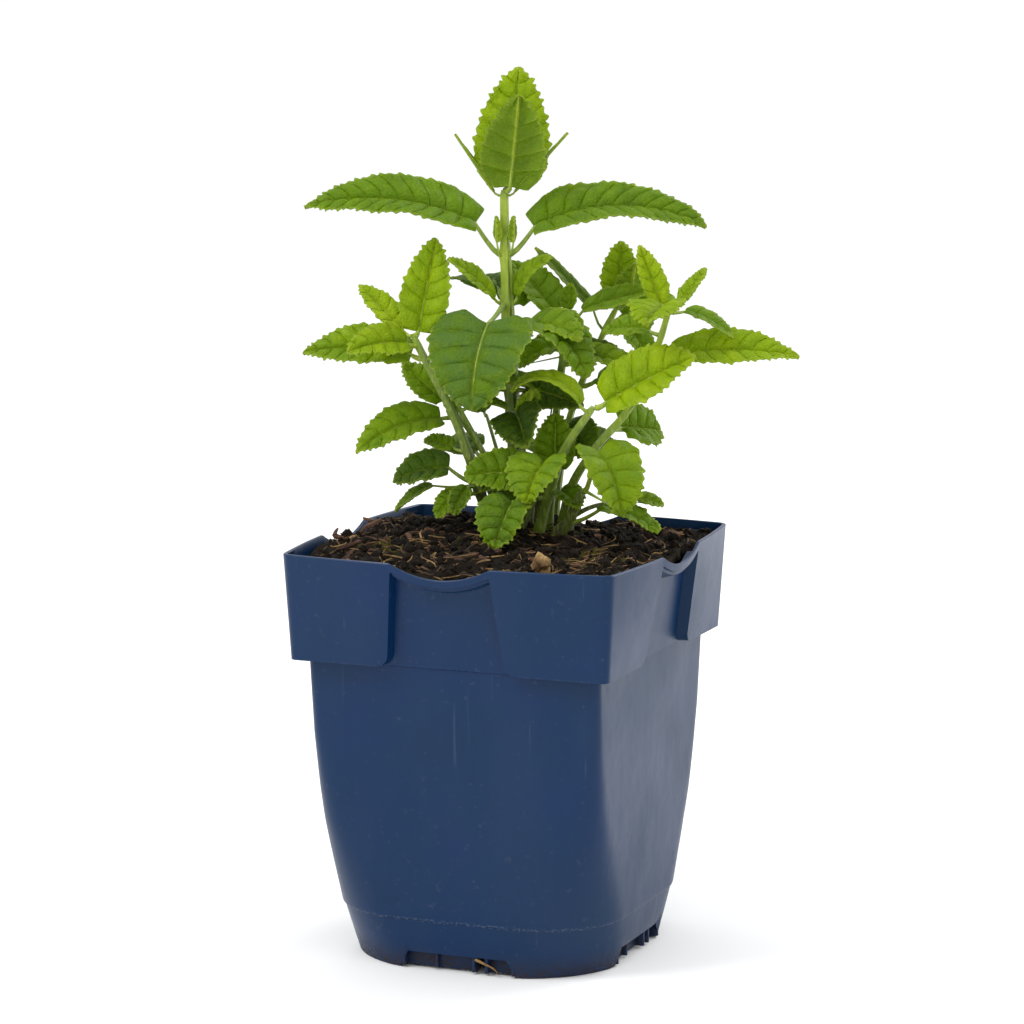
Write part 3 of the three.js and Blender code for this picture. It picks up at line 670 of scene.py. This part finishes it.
def tube_rings(points, radii, around, section=None, first_side=(0.0, 1.0, 0.0)):
    """Rings of points round a line; section(angle) shapes each ring."""
    ways = directions(points)
    rings = []
    side = None
    for centre, way, radius in zip(points, ways, radii):
        guide = np.array(first_side) if side is None else np.cross(way, side)
        side = np.cross(guide, way)
        side /= max(np.linalg.norm(side), 1e-9)
        front = np.cross(way, side)
        ring = []
        for k in range(around):
            angle = 2 * math.pi * k / around
            reach = radius * (section(angle) if section else 1.0)
            ring.append(centre + side * reach * math.cos(angle) + front * reach * math.sin(angle))
        rings.append(ring)
    return rings


def square_section(angle):
    """A four-ribbed stem: raised corners and shallow grooves between them."""
    return 0.96 + 0.11 * math.cos(4 * (angle - math.pi / 4)) + 0.02 * math.cos(8 * angle)


def leaf_joints(name):
    joints = []
    for values in list(LEAVES.values()) + list(SIDE_LEAVES.values()):
        if values[0] == name and values[1] < 0.97:
            joints.append(values[1])
    return joints


def make_shoot(name, replaced):
    line = SHOOT_LINES[name]
    steps = max(16, int(np.linalg.norm(np.diff(line, axis=0), axis=1).sum() / 1.6))
    shares = np.linspace(0, 1, steps)
    points = np.stack([np.interp(shares, np.linspace(0, 1, len(line)), line[:, k]) for k in range(3)], axis=1)
    if replaced is None:
        points[0, 2] -= 3
    length = np.linalg.norm(line[-1] - line[0])
    radii = []
    for share in shares:
        radius = shoot_radius(name, share)
        for joint in leaf_joints(name):
            away = (share - joint) * length / 1.7
            radius *= 1 + 0.1 * math.exp(-away * away)
        radius *= 1 + 0.25 * math.exp(-(share * length / 3) ** 2)
        radii.append(radius)
    radii[-1] *= 0.7
    piece = wrapped_tube(tube_rings(points, radii, 16, square_section))
    paint(piece, STEM)
    heights = np.array([v.co.z for v in piece.data.vertices]) / MM
    low, high = points[0, 2], max(points[-1, 2], points[0, 2] + 90)
    age = np.clip(1 - (heights - low) / (high - low), 0, 1) ** 1.1
    if name in ("back_right", "far_right", "front", "slip_pale"):
        age *= 0.6
    give_attribute(piece, "tone", np.stack([age, age * 0, age * 0], axis=1))
    smooth_by_angle(piece, 50)
    return finish_piece(piece, f"catmint_stem_{name}", f"stem_{name}" if replaced else None)


# ---- leaves --------------------------------------------------------------------------------------
def blade_width(t, heart):
    start = 0.03 + 0.25 * heart
    widest = max(0.0, (0.5 - 0.8 * start) / 1.3)

    def form(x):
        return math.sqrt(x + start) * max(0.0, 1 - x) ** 0.8

    rounding = 1 - 0.3 * heart * max(0.0, 1 - t / 0.1)
    return rounding * form(t) / form(widest)


def heading(azimuth, rise):
    return np.array([math.cos(rise) * math.cos(azimuth), math.cos(rise) * math.sin(azimuth), math.sin(rise)])


class Blade:
    """The middle line and cross directions of one leaf."""

    def __init__(self, name, values):
        (self.shoot, self.at, turn, self.stalk, lift, self.length, self.width, self.rise, self.droop, roll,
         self.heart, self.age, self.bloom) = values
        self.azimuth = rad(turn + PLANT_TURN)
        self.roll = rad(roll)
        self.fold = rad(OWN_FOLDS.get(name, FOLD))
        line = SHOOT_LINES[self.shoot]
        self.foot = np.array([np.interp(self.at, np.linspace(0, 1, len(line)), line[:, k]) for k in range(3)])
        clear = shoot_radius(self.shoot, self.at) * STEM_RIB + GAP + PETIOLE_THICK / 2
        self.socket = self.foot + heading(self.azimuth, 0) * clear
        self.lift = rad(lift)
        stalk_end = self.socket + heading(self.azimuth, self.lift) * self.stalk
        self.base = stalk_end + heading(self.azimuth, rad(self.rise)) * 0.3
        steps = 81
        self.shares = np.linspace(0, 1, steps)
        ways = np.array([heading(self.azimuth, rad(self.rise - self.droop * v)) for v in self.shares])
        moves = (ways[1:] + ways[:-1]) / 2 * self.length / (steps - 1)
        self.line = np.concatenate([[self.base], self.base + np.cumsum(moves, axis=0)])

    def centre(self, v):
        return np.array([np.interp(v, self.shares, self.line[:, k]) for k in range(3)])

    def axes(self, v):
        tangent = heading(self.azimuth, rad(self.rise - self.droop * v))
        flat = np.array([-math.sin(self.azimuth), math.cos(self.azimuth), 0.0])
        side = flat * math.cos(self.roll) + np.cross(tangent, flat) * math.sin(self.roll)
        return tangent, side, np.cross(tangent, side)


def leaf_detail(blade, t, s, q, rng_shift):
    """Height of the quilted surface above the plain sheet, in millimetres."""
    reach = abs(s)
    puff = abs(math.sin(math.pi * q)) ** 0.7 * math.sin(math.pi * min(1.0, reach) ** 0.7) ** 0.8
    amount = min(PUFF_MOST, PUFF_SHARE * blade.width) * (1 - 0.4 * t)
    ripple = math.sin(9 * t + rng_shift + (2.1 if s > 0 else 0)) * reach ** 2 * blade.width * 0.03
    valley = -0.6 * math.exp(-(reach * blade.width / 2 / 0.8) ** 2)
    wrinkle = noise.noise(Vector((t * 7 + rng_shift, s * 3, rng_shift))) * 0.9 * reach
    return puff * amount + ripple + valley * min(1, blade.width / 12) + wrinkle * min(1, blade.width / 14)


def make_leaf(name, values, replaced):
    blade = Blade(name, values)
    rng = random.Random(name)
    shift = rng.uniform(0, 6)
    small = blade.width < 6 or blade.length < 9.5
    veins = 4 if small else max(5, round(blade.length / 5.0))
    teeth = veins if small else 2 * veins
    rows = teeth * TOOTH_ROWS
    columns = 14 if small else 24
    depth = min(1.75, 0.07 * blade.width + 0.3)
    shares_across = [math.copysign(abs(c) ** 0.9, c) for c in np.linspace(-1, 1, columns + 1)]
    points, blade_map = [], []
    for row in range(rows + 1):
        v = row / rows
        phase = v * teeth
        tooth = phase - math.floor(phase)
        bump = math.sin(math.pi * tooth ** TOOTH_LEAN) ** TOOTH_ROUNDING if 0 < tooth < 1 else 0.0
        fade = min(1.0, 6 * v) * min(1.0, 5 * (1 - v) + 0.25)
        wobble = 1 + 0.25 * math.sin(phase * 2.4 + shift)
        q = v * veins - math.floor(v * veins)
        for s in shares_across:
            reach = abs(s)
            margin = reach ** MARGIN_POWER
            t = min(1.0, v + VEIN_SWEEP * reach ** 1.3 * v * (1 - v) * (1 - 0.25 * v))
            tangent, side, normal = blade.axes(t)
            half = max(0.25, blade.width / 2 * blade_width(t, blade.heart))
            rim_push = (bump * wobble - 0.45) * depth * fade * margin
            pinch = 1 - 0.22 * blade.heart * margin * max(0.0, 1 - v / 0.14)
            across = s * half * pinch + math.copysign(rim_push, s)
            forward = bump * depth * TOOTH_FORWARD * fade * margin
            lobe = reach ** 1.6 - 0.5 * margin
            back = LOBE * blade.heart ** 2 * blade.width * (1 - t) ** 3 * lobe
            rise = math.sin(blade.fold) * half * (1.3 * reach - 0.3 * reach * reach)
            height = rise + leaf_detail(blade, t, s, q, shift)
            points.append(blade.centre(t) + side * across * math.cos(blade.fold) + normal * height
                          + tangent * (forward - back))
            blade_map.append((reach * half, v * veins, (1 - reach) * half))
    sheet = grid_sheet(columns, rows)
    put_points(sheet, points)
    give_attribute(sheet, "blade", blade_map)
    paint(sheet, BLADE_UPPER, BLADE_UNDER, STEM)
    make_active(sheet)
    if sheet.data.polygons[len(sheet.data.polygons) // 2].normal.dot(Vector(blade.axes(0.5)[2])) < 0:
        edit_all(sheet, bpy.ops.mesh.flip_normals)
    apply_modifier(sheet, "SOLIDIFY", thickness=LEAF_THICK * MM, offset=0, material_offset=1,
                   use_even_offset=False)
    count = len(sheet.data.vertices)
    give_attribute(sheet, "tone", np.tile([blade.age, blade.bloom, rng.random()], (count, 1)))
    stalk = make_stalk(blade)
    piece = join_pieces(sheet, [stalk])
    smooth_by_angle(piece, 60)
    return finish_piece(piece, f"catmint_leaf_{name}", f"leaf_{name}" if replaced else None)


def make_stalk(blade):
    """The leaf's stalk, running on as a tapering rib under the blade."""
    start = blade.foot + heading(blade.azimuth, 0) * shoot_radius(blade.shoot, blade.at) * 0.5
    points = [start, mix(start, blade.socket, 0.6) - np.array([0, 0, 0.15])]
    steps = max(2, int(blade.stalk / 1.5))
    for i in range(1, steps + 1):
        share = i / steps
        bend = -math.sin(math.pi * share) * blade.stalk * 0.04
        points.append(mix(blade.socket, blade.base, share) + np.array([0, 0, bend]))
    shape = min(1.0, blade.width / 16) * 0.75 + 0.25
    radii = [0.95 * shape] * 2 + list(np.linspace(0.8, 0.62, steps) * shape)
    drop = LEAF_THICK / 2 + 0.12
    for v in np.linspace(0.06, 0.93, 14):
        normal = blade.axes(v)[2]
        points.append(blade.centre(v) - normal * drop)
        radii.append(mix(0.5, 0.12, v) * shape)
    piece = wrapped_tube(tube_rings(np.array(points), radii, 8))
    paint(piece, BLADE_UPPER, BLADE_UNDER, STEM)
    for polygon in piece.data.polygons:
        polygon.material_index = 2
    count = len(piece.data.vertices)
    give_attribute(piece, "blade", np.zeros((count, 3)))
    give_attribute(piece, "tone", np.tile([blade.age * 0.6, 0, 0], (count, 1)))
    return piece


# ---- pot -----------------------------------------------------------------------------------------
def wall_half(z):
    return between([(0, FOOT_HALF), (SEAM_HEIGHT, SEAM_HALF), (BAND_BOTTOM, BODY_HALF)], z)


def band_half(z):
    return between([(BAND_BOTTOM, BAND_HALF), (POT_HEIGHT, RIM_HALF)], z)


def bow_at(z):
    return between([(BAND_BOTTOM, 0), (POT_HEIGHT, RIM_BOW)], z)


def rim_height(u):
    return POT_HEIGHT - SCOOP_DEPTH * max(0.0, 1 - (u / SCOOP_HALF) ** 2)


def panel_half(z):
    straight = between([(BAND_BOTTOM, PANEL_HALF_BOTTOM), (POT_HEIGHT - LIP, PANEL_HALF_TOP)], z)
    up = z - BAND_BOTTOM
    if up >= PANEL_CORNER:
        return straight
    return straight + PANEL_CORNER - math.sqrt(max(0.0, PANEL_CORNER ** 2 - (PANEL_CORNER - up) ** 2))


def column_offsets(z, half, radius, inset):
    reach = half - radius + radius * math.sqrt(0.5)
    panel = panel_half(z) + inset
    positive = list(np.linspace(0, panel - 1.0, 9)) + [panel - 0.55, panel + 0.15]
    first = panel + 1.0
    shares = (0, .12, .25, .4, .55, .7, .8, .88, .92, .945, .965, .98, .99, 1)
    positive += [mix(first, reach, share) for share in shares]
    return [-u for u in positive[1:-1][::-1]] + positive


def standoff(u, half, radius, bow):
    flat = half - radius
    over = max(0.0, abs(u) - flat)
    return flat + math.sqrt(max(0.0, radius ** 2 - over ** 2)) + bow * max(0.0, 1 - (u / half) ** 2)


def wall_ring(z, half, inset=0.0, radius=None, bow=0.0, height_at=None, inset_at=None):
    curve = max(0.4, (between(CORNER_RADII, z) if radius is None else radius) - inset)
    size = half - inset
    ring = []
    for side in range(4):
        angle = side * math.pi / 2
        for u in column_offsets(z, size, curve, inset):
            out = standoff(u, size, curve, bow) - (inset_at(u) if inset_at else 0)
            ring.append((u * math.cos(angle) + out * math.sin(angle),
                         u * math.sin(angle) - out * math.cos(angle),
                         height_at(u) if height_at else z))
    return ring


def band_ring(z, inset, drop, panelled):
    edge = panel_half(z) + inset

    def height_at(u):
        return z if drop is None else rim_height(u) - drop

    def inset_at(u):
        return PANEL_DEPTH if panelled and abs(u) < edge - 0.2 else 0.0

    return wall_ring(z, band_half(z), inset, bow=bow_at(z), height_at=height_at, inset_at=inset_at)


def notch_height(u):
    edge = PANEL_HALF_BOTTOM
    return NOTCH_HEIGHT * min(1.0, max(0.0, (edge - abs(u)) / NOTCH_SLOPE))


def foot_ring(inset):
    ring = wall_ring(0, FOOT_HALF, inset)
    shaped = []
    for side in range(4):
        angle = side * math.pi / 2
        count = len(ring) // 4
        for x, y, z in ring[side * count:(side + 1) * count]:
            u = x * math.cos(angle) + y * math.sin(angle)
            shaped.append((x, y, notch_height(u)))
    return shaped


def pot_rings():
    """Every ring of the pot: from the underside up the outside, over the rim and down the inside."""
    rings = [wall_ring(FLOOR_UNDER, FLOOR_HALF, radius=FLOOR_CORNER),
             wall_ring(FLOOR_UNDER, FOOT_HALF, FOOT_LAND), foot_ring(FOOT_LAND), foot_ring(0)]
    rings += [wall_ring(z, wall_half(z) - SEAM_STEP * z / SEAM_HEIGHT) for z in (7.5, 10, 12.5, 15.0)]
    rings += [wall_ring(SEAM_HEIGHT, SEAM_HALF - SEAM_STEP), wall_ring(SEAM_HEIGHT + 0.25, SEAM_HALF - 0.05)]
    rings += [wall_ring(z, wall_half(z)) for z in np.linspace(SEAM_HEIGHT + 0.9, BAND_BOTTOM - 1.0, 26)]
    rings += [wall_ring(BAND_BOTTOM - 0.35, BODY_HALF), wall_ring(BAND_BOTTOM - 0.05, BODY_HALF + 0.35)]
    rings += [band_ring(BAND_BOTTOM + up, 0, None, True)
              for up in (0.0, 0.35, 0.9, 1.6, 2.5, PANEL_CORNER, 6, 10, 15, 20, 25)]
    for down, inset, drop, panelled in (
            (LIP + 0.9, 0, LIP + 0.9, True), (LIP + 0.45, 0, LIP + 0.45, True), (LIP, 0, LIP, False),
            (0.9, 0, 0.9, False), (0, 0, 0.3, False), (0, 0.25, 0.0, False), (0, WALL - 0.25, 0.0, False),
            (0, WALL, 0.3, False), (LIP, WALL, LIP + WALL, False), (LIP + 0.4, WALL, LIP + 2 * WALL, True)):
        rings.append(band_ring(POT_HEIGHT - down, inset, drop, panelled))
    rings += [band_ring(BAND_BOTTOM + up, WALL, None, True) for up in (25, 18, 10, 5, WALL)]
    rings.append(wall_ring(BAND_BOTTOM + WALL - 0.4, BODY_HALF, WALL))
    rings += [wall_ring(z, wall_half(z), WALL) for z in (84, 70, 54, 43, 32, 24, SEAM_HEIGHT, FLOOR_TOP)]
    rings.append(wall_ring(FLOOR_TOP, FLOOR_HALF, radius=FLOOR_CORNER))
    return rings


def notch_walls():
    """Short set-back walls and ribs behind each notch of the foot."""
    walls = []
    offset = Matrix.Translation((POT_OFFSET_X * MM, 0, 0))
    for side in range(4):
        turn = Matrix.Rotation(side * math.pi / 2, 4, "Z")
        for middle, width, depth in NOTCH_WALLS:
            start_clean()
            bpy.ops.mesh.primitive_cube_add(size=1)
            wall = bpy.context.object
            at = (middle, -(NOTCH_WALL_OUT + depth / 2), NOTCH_WALL_FOOT + NOTCH_WALL_HEIGHT / 2)
            size = Matrix.Diagonal((width * MM, depth * MM, NOTCH_WALL_HEIGHT * MM, 1))
            wall.data.transform(offset @ turn @ Matrix.Translation([c * MM for c in at]) @ size)
            apply_modifier(wall, "BEVEL", width=0.2 * MM, segments=2)
            walls.append(wall)
    return walls


def make_pot():
    rings = np.array(pot_rings())
    rings[..., 0] += POT_OFFSET_X
    pot = join_pieces(wrapped_tube(rings), notch_walls())
    pot.data.materials.clear()
    paint(pot, PLASTIC)
    heights = np.array([v.co for v in pot.data.vertices]) / MM
    z = heights[:, 2]
    out = np.maximum(np.abs(heights[:, 0] - POT_OFFSET_X), np.abs(heights[:, 1]))
    low = np.clip(1 - z / 4.5, 0, 1) * 0.9
    under = np.where((z < FLOOR_UNDER + 1) & (out < FOOT_HALF - 1), 0.8, 0.0)
    inside = np.where((out < band_half(POT_HEIGHT) - 2.5) & (z > 112) & (out < 49.5), 0.15, 0.0)
    mark_shares = np.maximum(np.maximum(low, under), inside)
    # Painted highlight: narrow pale lines on the seam step and the band's lower edge, where those edges catch
    # the light. The shares above are real dirt.
    edge_highlight = np.exp(-((z - SEAM_HEIGHT - 0.1) / 0.25) ** 2) * 0.45
    edge_highlight = np.maximum(edge_highlight, np.exp(-((z - BAND_BOTTOM) / 0.25) ** 2) * 0.1)
    give_attribute(pot, "grime_and_highlight", np.stack([mark_shares, edge_highlight, mark_shares * 0], axis=1))
    smooth_by_angle(pot, 38)
    return finish_piece(pot, "nursery_pot", "pot")


# ---- soil ----------------------------------------------------------------------------------------
def soil_reach(u):
    """How far the soil's top runs out at a distance u along a side."""
    half = band_half(SOIL_EDGE)
    out = standoff(u, half, 2.5, bow_at(SOIL_EDGE)) - WALL - 1.1
    if abs(u) < PANEL_HALF_TOP + WALL:
        out -= PANEL_DEPTH
    return out


def soil_top(x, y, lift=1.0):
    """Height of the crumbly surface."""
    u, out = (x, abs(y)) if abs(y) > abs(x) else (y, abs(x))
    edge = max(0.0, 1 - (soil_reach(u) - out) / 9)
    level = soil_height(x, y)
    rim = rim_height(u) - 1.3
    height = mix(level, min(level, rim), min(1.0, edge * 1.4))
    for middle_x, middle_y, wide, deep, rise in SOIL_SWELLS:
        height += rise * math.exp(-((x - middle_x) / wide) ** 2 - ((y - middle_y) / deep) ** 2)
    p = Vector((x, y, 0))
    rough = noise.fractal(p * 0.13, 0.9, 2.1, 5) * 2.2
    crumbs = (0.5 - noise.voronoi(p * 0.42)[0][0]) * 1.7 + (0.4 - noise.voronoi(p * 0.95)[0][0]) * 0.9
    return height + (rough + crumbs) * lift * (1 - 0.5 * min(1.0, edge))


def make_soil():
    count = SOIL_SHEET
    sheet = grid_sheet(count, count)
    coords = []
    for j in range(count + 1):
        for i in range(count + 1):
            a, b = 2 * i / count - 1, 2 * j / count - 1
            big = max(abs(a), abs(b))
            if big < 1e-9:
                x = y = 0.0
            else:
                u = (a if abs(b) >= abs(a) else b) / big
                half = soil_reach(u * 47)
                x, y = a * half, b * half
            coords.append((x + POT_OFFSET_X, y, soil_top(x, y)))
    put_points(sheet, coords)
    if sheet.data.polygons[0].normal.z < 0:
        edit_all(sheet, bpy.ops.mesh.flip_normals)
    apply_modifier(sheet, "SOLIDIFY", thickness=SOIL_CRUST * MM, offset=-1, use_even_offset=False)
    levels = (FLOOR_TOP + 0.4, SEAM_HEIGHT, 32, 43, 54, 70, 90)
    rows = [wall_ring(z, wall_half(z), WALL + 0.9) for z in levels]
    rows += [wall_ring(z, 44, 0, radius=3) for z in (95, 117)]
    rows = np.array(rows)
    rows[..., 0] += POT_OFFSET_X
    sheet = join_pieces(sheet, [wrapped_tube(rows)])
    paint(sheet, COMPOST)
    make_active(sheet)
    bpy.ops.object.shade_smooth()
    return finish_piece(sheet, "soil_bed", "soil")


def merge_copies(name, shapes, material):
    """One mesh out of many (points, faces) copies."""
    points, faces = [], []
    for shape_points, shape_faces in shapes:
        base = len(points)
        points.extend(shape_points)
        faces.extend([tuple(base + k for k in face) for face in shape_faces])
    mesh = bpy.data.meshes.new(name)
    mesh.from_pydata([tuple(c * MM for c in p) for p in points], [], faces)
    mesh.materials.append(material)
    piece = bpy.data.objects.new(name, mesh)
    bpy.context.scene.collection.objects.link(piece)
    edit_all(piece, lambda: bpy.ops.mesh.normals_make_consistent(inside=False))
    return finish_piece(piece, name)


def crumb_shape():
    start_clean()
    bpy.ops.mesh.primitive_ico_sphere_add(subdivisions=2, radius=1)
    ball = bpy.context.object
    points = [tuple(v.co) for v in ball.data.vertices]
    faces = [tuple(p.vertices) for p in ball.data.polygons]
    bpy.data.objects.remove(ball)
    return points, faces


def in_soil(rng):
    while True:
        x, y = rng.uniform(-FIELD, FIELD), rng.uniform(-FIELD, FIELD)
        u, out = (x, abs(y)) if abs(y) > abs(x) else (y, abs(x))
        if out < soil_reach(u) - 1.6:
            return x, y


def make_crumbs():
    rng = random.Random(7)
    points, faces = crumb_shape()
    shapes = []
    for _ in range(CRUMBS):
        x, y = in_soil(rng)
        size = rng.choice((0.6, 0.8, 1.0, 1.3, 1.8)) * rng.uniform(0.7, 1.2)
        stretch = Vector((rng.uniform(0.7, 1.4), rng.uniform(0.6, 1.1), rng.uniform(0.5, 0.9)))
        turn = Matrix.Rotation(rng.uniform(0, 6.3), 3, Vector((rng.random(), rng.random(), 1)).normalized())
        seed = Vector((rng.uniform(0, 50), 0, 0))
        centre = Vector((x + POT_OFFSET_X, y, soil_top(x, y) + size * 0.25))
        moved = []
        for p in points:
            v = Vector(p)
            v = v * (1 + 0.45 * noise.noise(v * 1.6 + seed))
            v = turn @ Vector((v.x * stretch.x, v.y * stretch.y, v.z * stretch.z))
            moved.append(tuple(centre + v * size))
        shapes.append((moved, faces))
    return merge_copies("soil_crumbs", shapes, CRUMB)


def fibre(rng, x, y, length, thick, flat, lift):
    """A bent strand of a few short pieces lying on or standing out of the soil."""
    heading_ = rng.uniform(0, 2 * math.pi)
    bend = rng.uniform(-0.5, 0.5)
    steps = 5
    points = []
    z = soil_top(x, y) + thick * 0.5
    px, py = x, y
    for i in range(steps + 1):
        points.append((px + POT_OFFSET_X, py, z))
        heading_ += bend + rng.uniform(-0.2, 0.2)
        px += math.cos(heading_) * length / steps
        py += math.sin(heading_) * length / steps
        px, py = (max(-FIBRE_FIELD, min(FIBRE_FIELD, c)) for c in (px, py))
        ground = soil_top(px, py) + thick * 0.4
        z = max(ground, z + lift * length / steps * rng.uniform(0.3, 1)) if lift > 0 else ground + 0.2
    sides = 5
    radii = [thick * 0.5 * (1 - 0.55 * abs(2 * i / steps - 1) ** 2) for i in range(steps + 1)]
    rings = tube_rings(np.array(points), radii, sides, lambda a: 1 + (flat - 1) * abs(math.cos(a)))
    all_points = [tuple(p) for ring in rings for p in ring]
    faces = []
    for r in range(steps):
        for k in range(sides):
            a, b = r * sides + k, r * sides + (k + 1) % sides
            faces.append((a, b, b + sides, a + sides))
    faces.append(tuple(range(sides))[::-1])
    faces.append(tuple(range(steps * sides, (steps + 1) * sides)))
    return all_points, faces


def make_fibres():
    """Loose strands: count, length, thickness, flatness and how they rise, for each kind."""
    rng = random.Random(21)
    straw, dark, bark = [], [], []
    for heap, count, length, thick, flat, lifts in ((straw, 280, (3, 10), (0.16, 0.4), 1.5, (0, 0, 0.25)),
                                                    (straw, 26, (5, 13), (0.25, 0.5), 1.4, (0.2, 0.6)),
                                                    (dark, 320, (2, 8), (0.25, 0.6), 1.4, (0, 0, 0.3)),
                                                    (bark, 34, (3, 9), (0.7, 1.5), 1.9, (0, 0, 0.35))):
        for _ in range(count):
            x, y = in_soil(rng)
            size = rng.uniform(*length), rng.uniform(*thick)
            lift = rng.uniform(*lifts) if len(lifts) == 2 else rng.choice(lifts)
            heap.append(fibre(rng, x, y, *size, flat, lift))
    for x, y in ((-44, -30), (-46, -18), (-40, -42), (-46, -8), (-45, 6)):
        bark.append(fibre(rng, x, y, 9, 1.1, 1.8, 0.55))
    merge_copies("straw_fibres", straw, STRAW)
    merge_copies("dark_fibres", dark, ROOTLET)
    merge_copies("bark_slivers", bark, BARK)


def make_lump():
    """The pale torn piece of bark with root ends near the front corner."""
    rng = random.Random(5)
    x, y = LUMP_AT
    shapes = []
    points, faces = crumb_shape()
    for k in range(7):
        side, back = rng.uniform(-1.5, 1.5), rng.uniform(-1.5, 1.5)
        centre = Vector((x + POT_OFFSET_X + side, y + back, SOIL_EDGE + 1 + k * 0.75))
        seed = Vector((k * 3.1, 1, 0))
        moved = []
        for p in points:
            v = Vector(p)
            v = v * (1 + 0.6 * noise.noise(v * 2 + seed))
            moved.append(tuple(centre + Vector((v.x * 1.5, v.y * 1.3, v.z * 1.8))))
        shapes.append((moved, faces))
    for _ in range(12):
        start = x + rng.uniform(-2, 2), y + rng.uniform(-1, 2)
        shapes.append(fibre(rng, *start, rng.uniform(4, 8), 0.5, 1.3, 0.5))
    return merge_copies("bark_lump", shapes, STRAW)


def make_pot_root():
    """A pale root end that shows in the front drain opening."""
    points = spline([(6, -42.3, 4.6), (9, -42.6, 3.6), (12, -42.6, 2.4), (13.5, -42.8, 1.2)], 14)
    points[:, 0] += POT_OFFSET_X
    piece = wrapped_tube(tube_rings(points, np.linspace(0.5, 0.18, 14), 7))
    paint(piece, STRAW)
    smooth_by_angle(piece, 60)
    return finish_piece(piece, "drain_root")


# ---- studio --------------------------------------------------------------------------------------
def make_studio():
    start_clean()
    bpy.ops.mesh.primitive_plane_add(size=60, location=(0, 0, -0.0002))
    floor = bpy.context.object
    floor.name = "studio_floor"
    n = Nodes("studio_floor")
    n.shader.inputs["Base Color"].default_value = (0.93, 0.935, 0.93, 1)
    n.shader.inputs["Roughness"].default_value = 0.9
    n.shader.inputs["Specular IOR Level"].default_value = 0.1
    floor.data.materials.append(n.material)

    world = bpy.data.worlds.new("studio")
    world.use_nodes = True
    tree = world.node_tree
    soft = tree.nodes["Background"]
    soft.inputs["Color"].default_value = (1.0, 1.0, 1.0, 1)
    soft.inputs["Strength"].default_value = SKY_STRENGTH
    clean = tree.nodes.new("ShaderNodeBackground")
    clean.inputs["Strength"].default_value = BACKDROP_STRENGTH
    seen = tree.nodes.new("ShaderNodeLightPath")
    both = tree.nodes.new("ShaderNodeMixShader")
    tree.links.new(seen.outputs["Is Camera Ray"], both.inputs[0])
    tree.links.new(soft.outputs[0], both.inputs[1])
    tree.links.new(clean.outputs[0], both.inputs[2])
    tree.links.new(both.outputs[0], tree.nodes["World Output"].inputs["Surface"])
    bpy.context.scene.world = world

    def panel(name, at, size, power, aim=(0, 0, 0.14)):
        light = bpy.data.lights.new(name, "AREA")
        light.shape = "RECTANGLE"
        light.size, light.size_y = size
        light.energy = power
        lamp = bpy.data.objects.new(name, light)
        lamp.location = at
        lamp.rotation_mode = "QUATERNION"
        lamp.rotation_quaternion = (Vector(aim) - Vector(at)).to_track_quat("-Z", "Y")
        bpy.context.scene.collection.objects.link(lamp)

    panel("key", (-0.6, -0.7, 1.2), (0.5, 0.5), KEY_POWER)
    panel("back", (0.5, 0.9, 0.9), (0.9, 0.7), BACK_POWER)


def make_camera():
    azimuth, elevation = rad(CAMERA_AZIMUTH), rad(CAMERA_ELEVATION)
    rim = Vector((POT_OFFSET_X * MM, 0, POT_HEIGHT * MM))
    back = Vector((math.sin(azimuth) * math.cos(elevation), -math.cos(azimuth) * math.cos(elevation),
                   math.sin(elevation)))
    camera = bpy.data.cameras.new("camera")
    camera.lens, camera.sensor_width = CAMERA_LENS, CAMERA_SENSOR
    camera.shift_x, camera.shift_y = CAMERA_SHIFT
    holder = bpy.data.objects.new("camera", camera)
    holder.location = rim + back * CAMERA_DISTANCE
    holder.rotation_mode = "QUATERNION"
    holder.rotation_quaternion = (-back).to_track_quat("-Z", "Y")
    bpy.context.scene.collection.objects.link(holder)
    bpy.context.scene.camera = holder
    bpy.context.scene.view_settings.view_transform = "Standard"


# ---- the whole object ----------------------------------------------------------------------------
def shift_plant(pieces):
    for piece in pieces:
        piece.data.transform(Matrix.Translation((POT_OFFSET_X * MM, 0, 0)))


make_pot()
make_soil()
make_crumbs()
make_fibres()
make_lump()
make_pot_root()
plant = [make_shoot(name, True) for name in SHOOTS]
plant += [make_shoot(name, None) for name in SIDE_SHOOTS]
plant += [make_leaf(name, values, True) for name, values in LEAVES.items()]
plant += [make_leaf(name, values, False) for name, values in SIDE_LEAVES.items()]
shift_plant(plant)
make_studio()
make_camera()
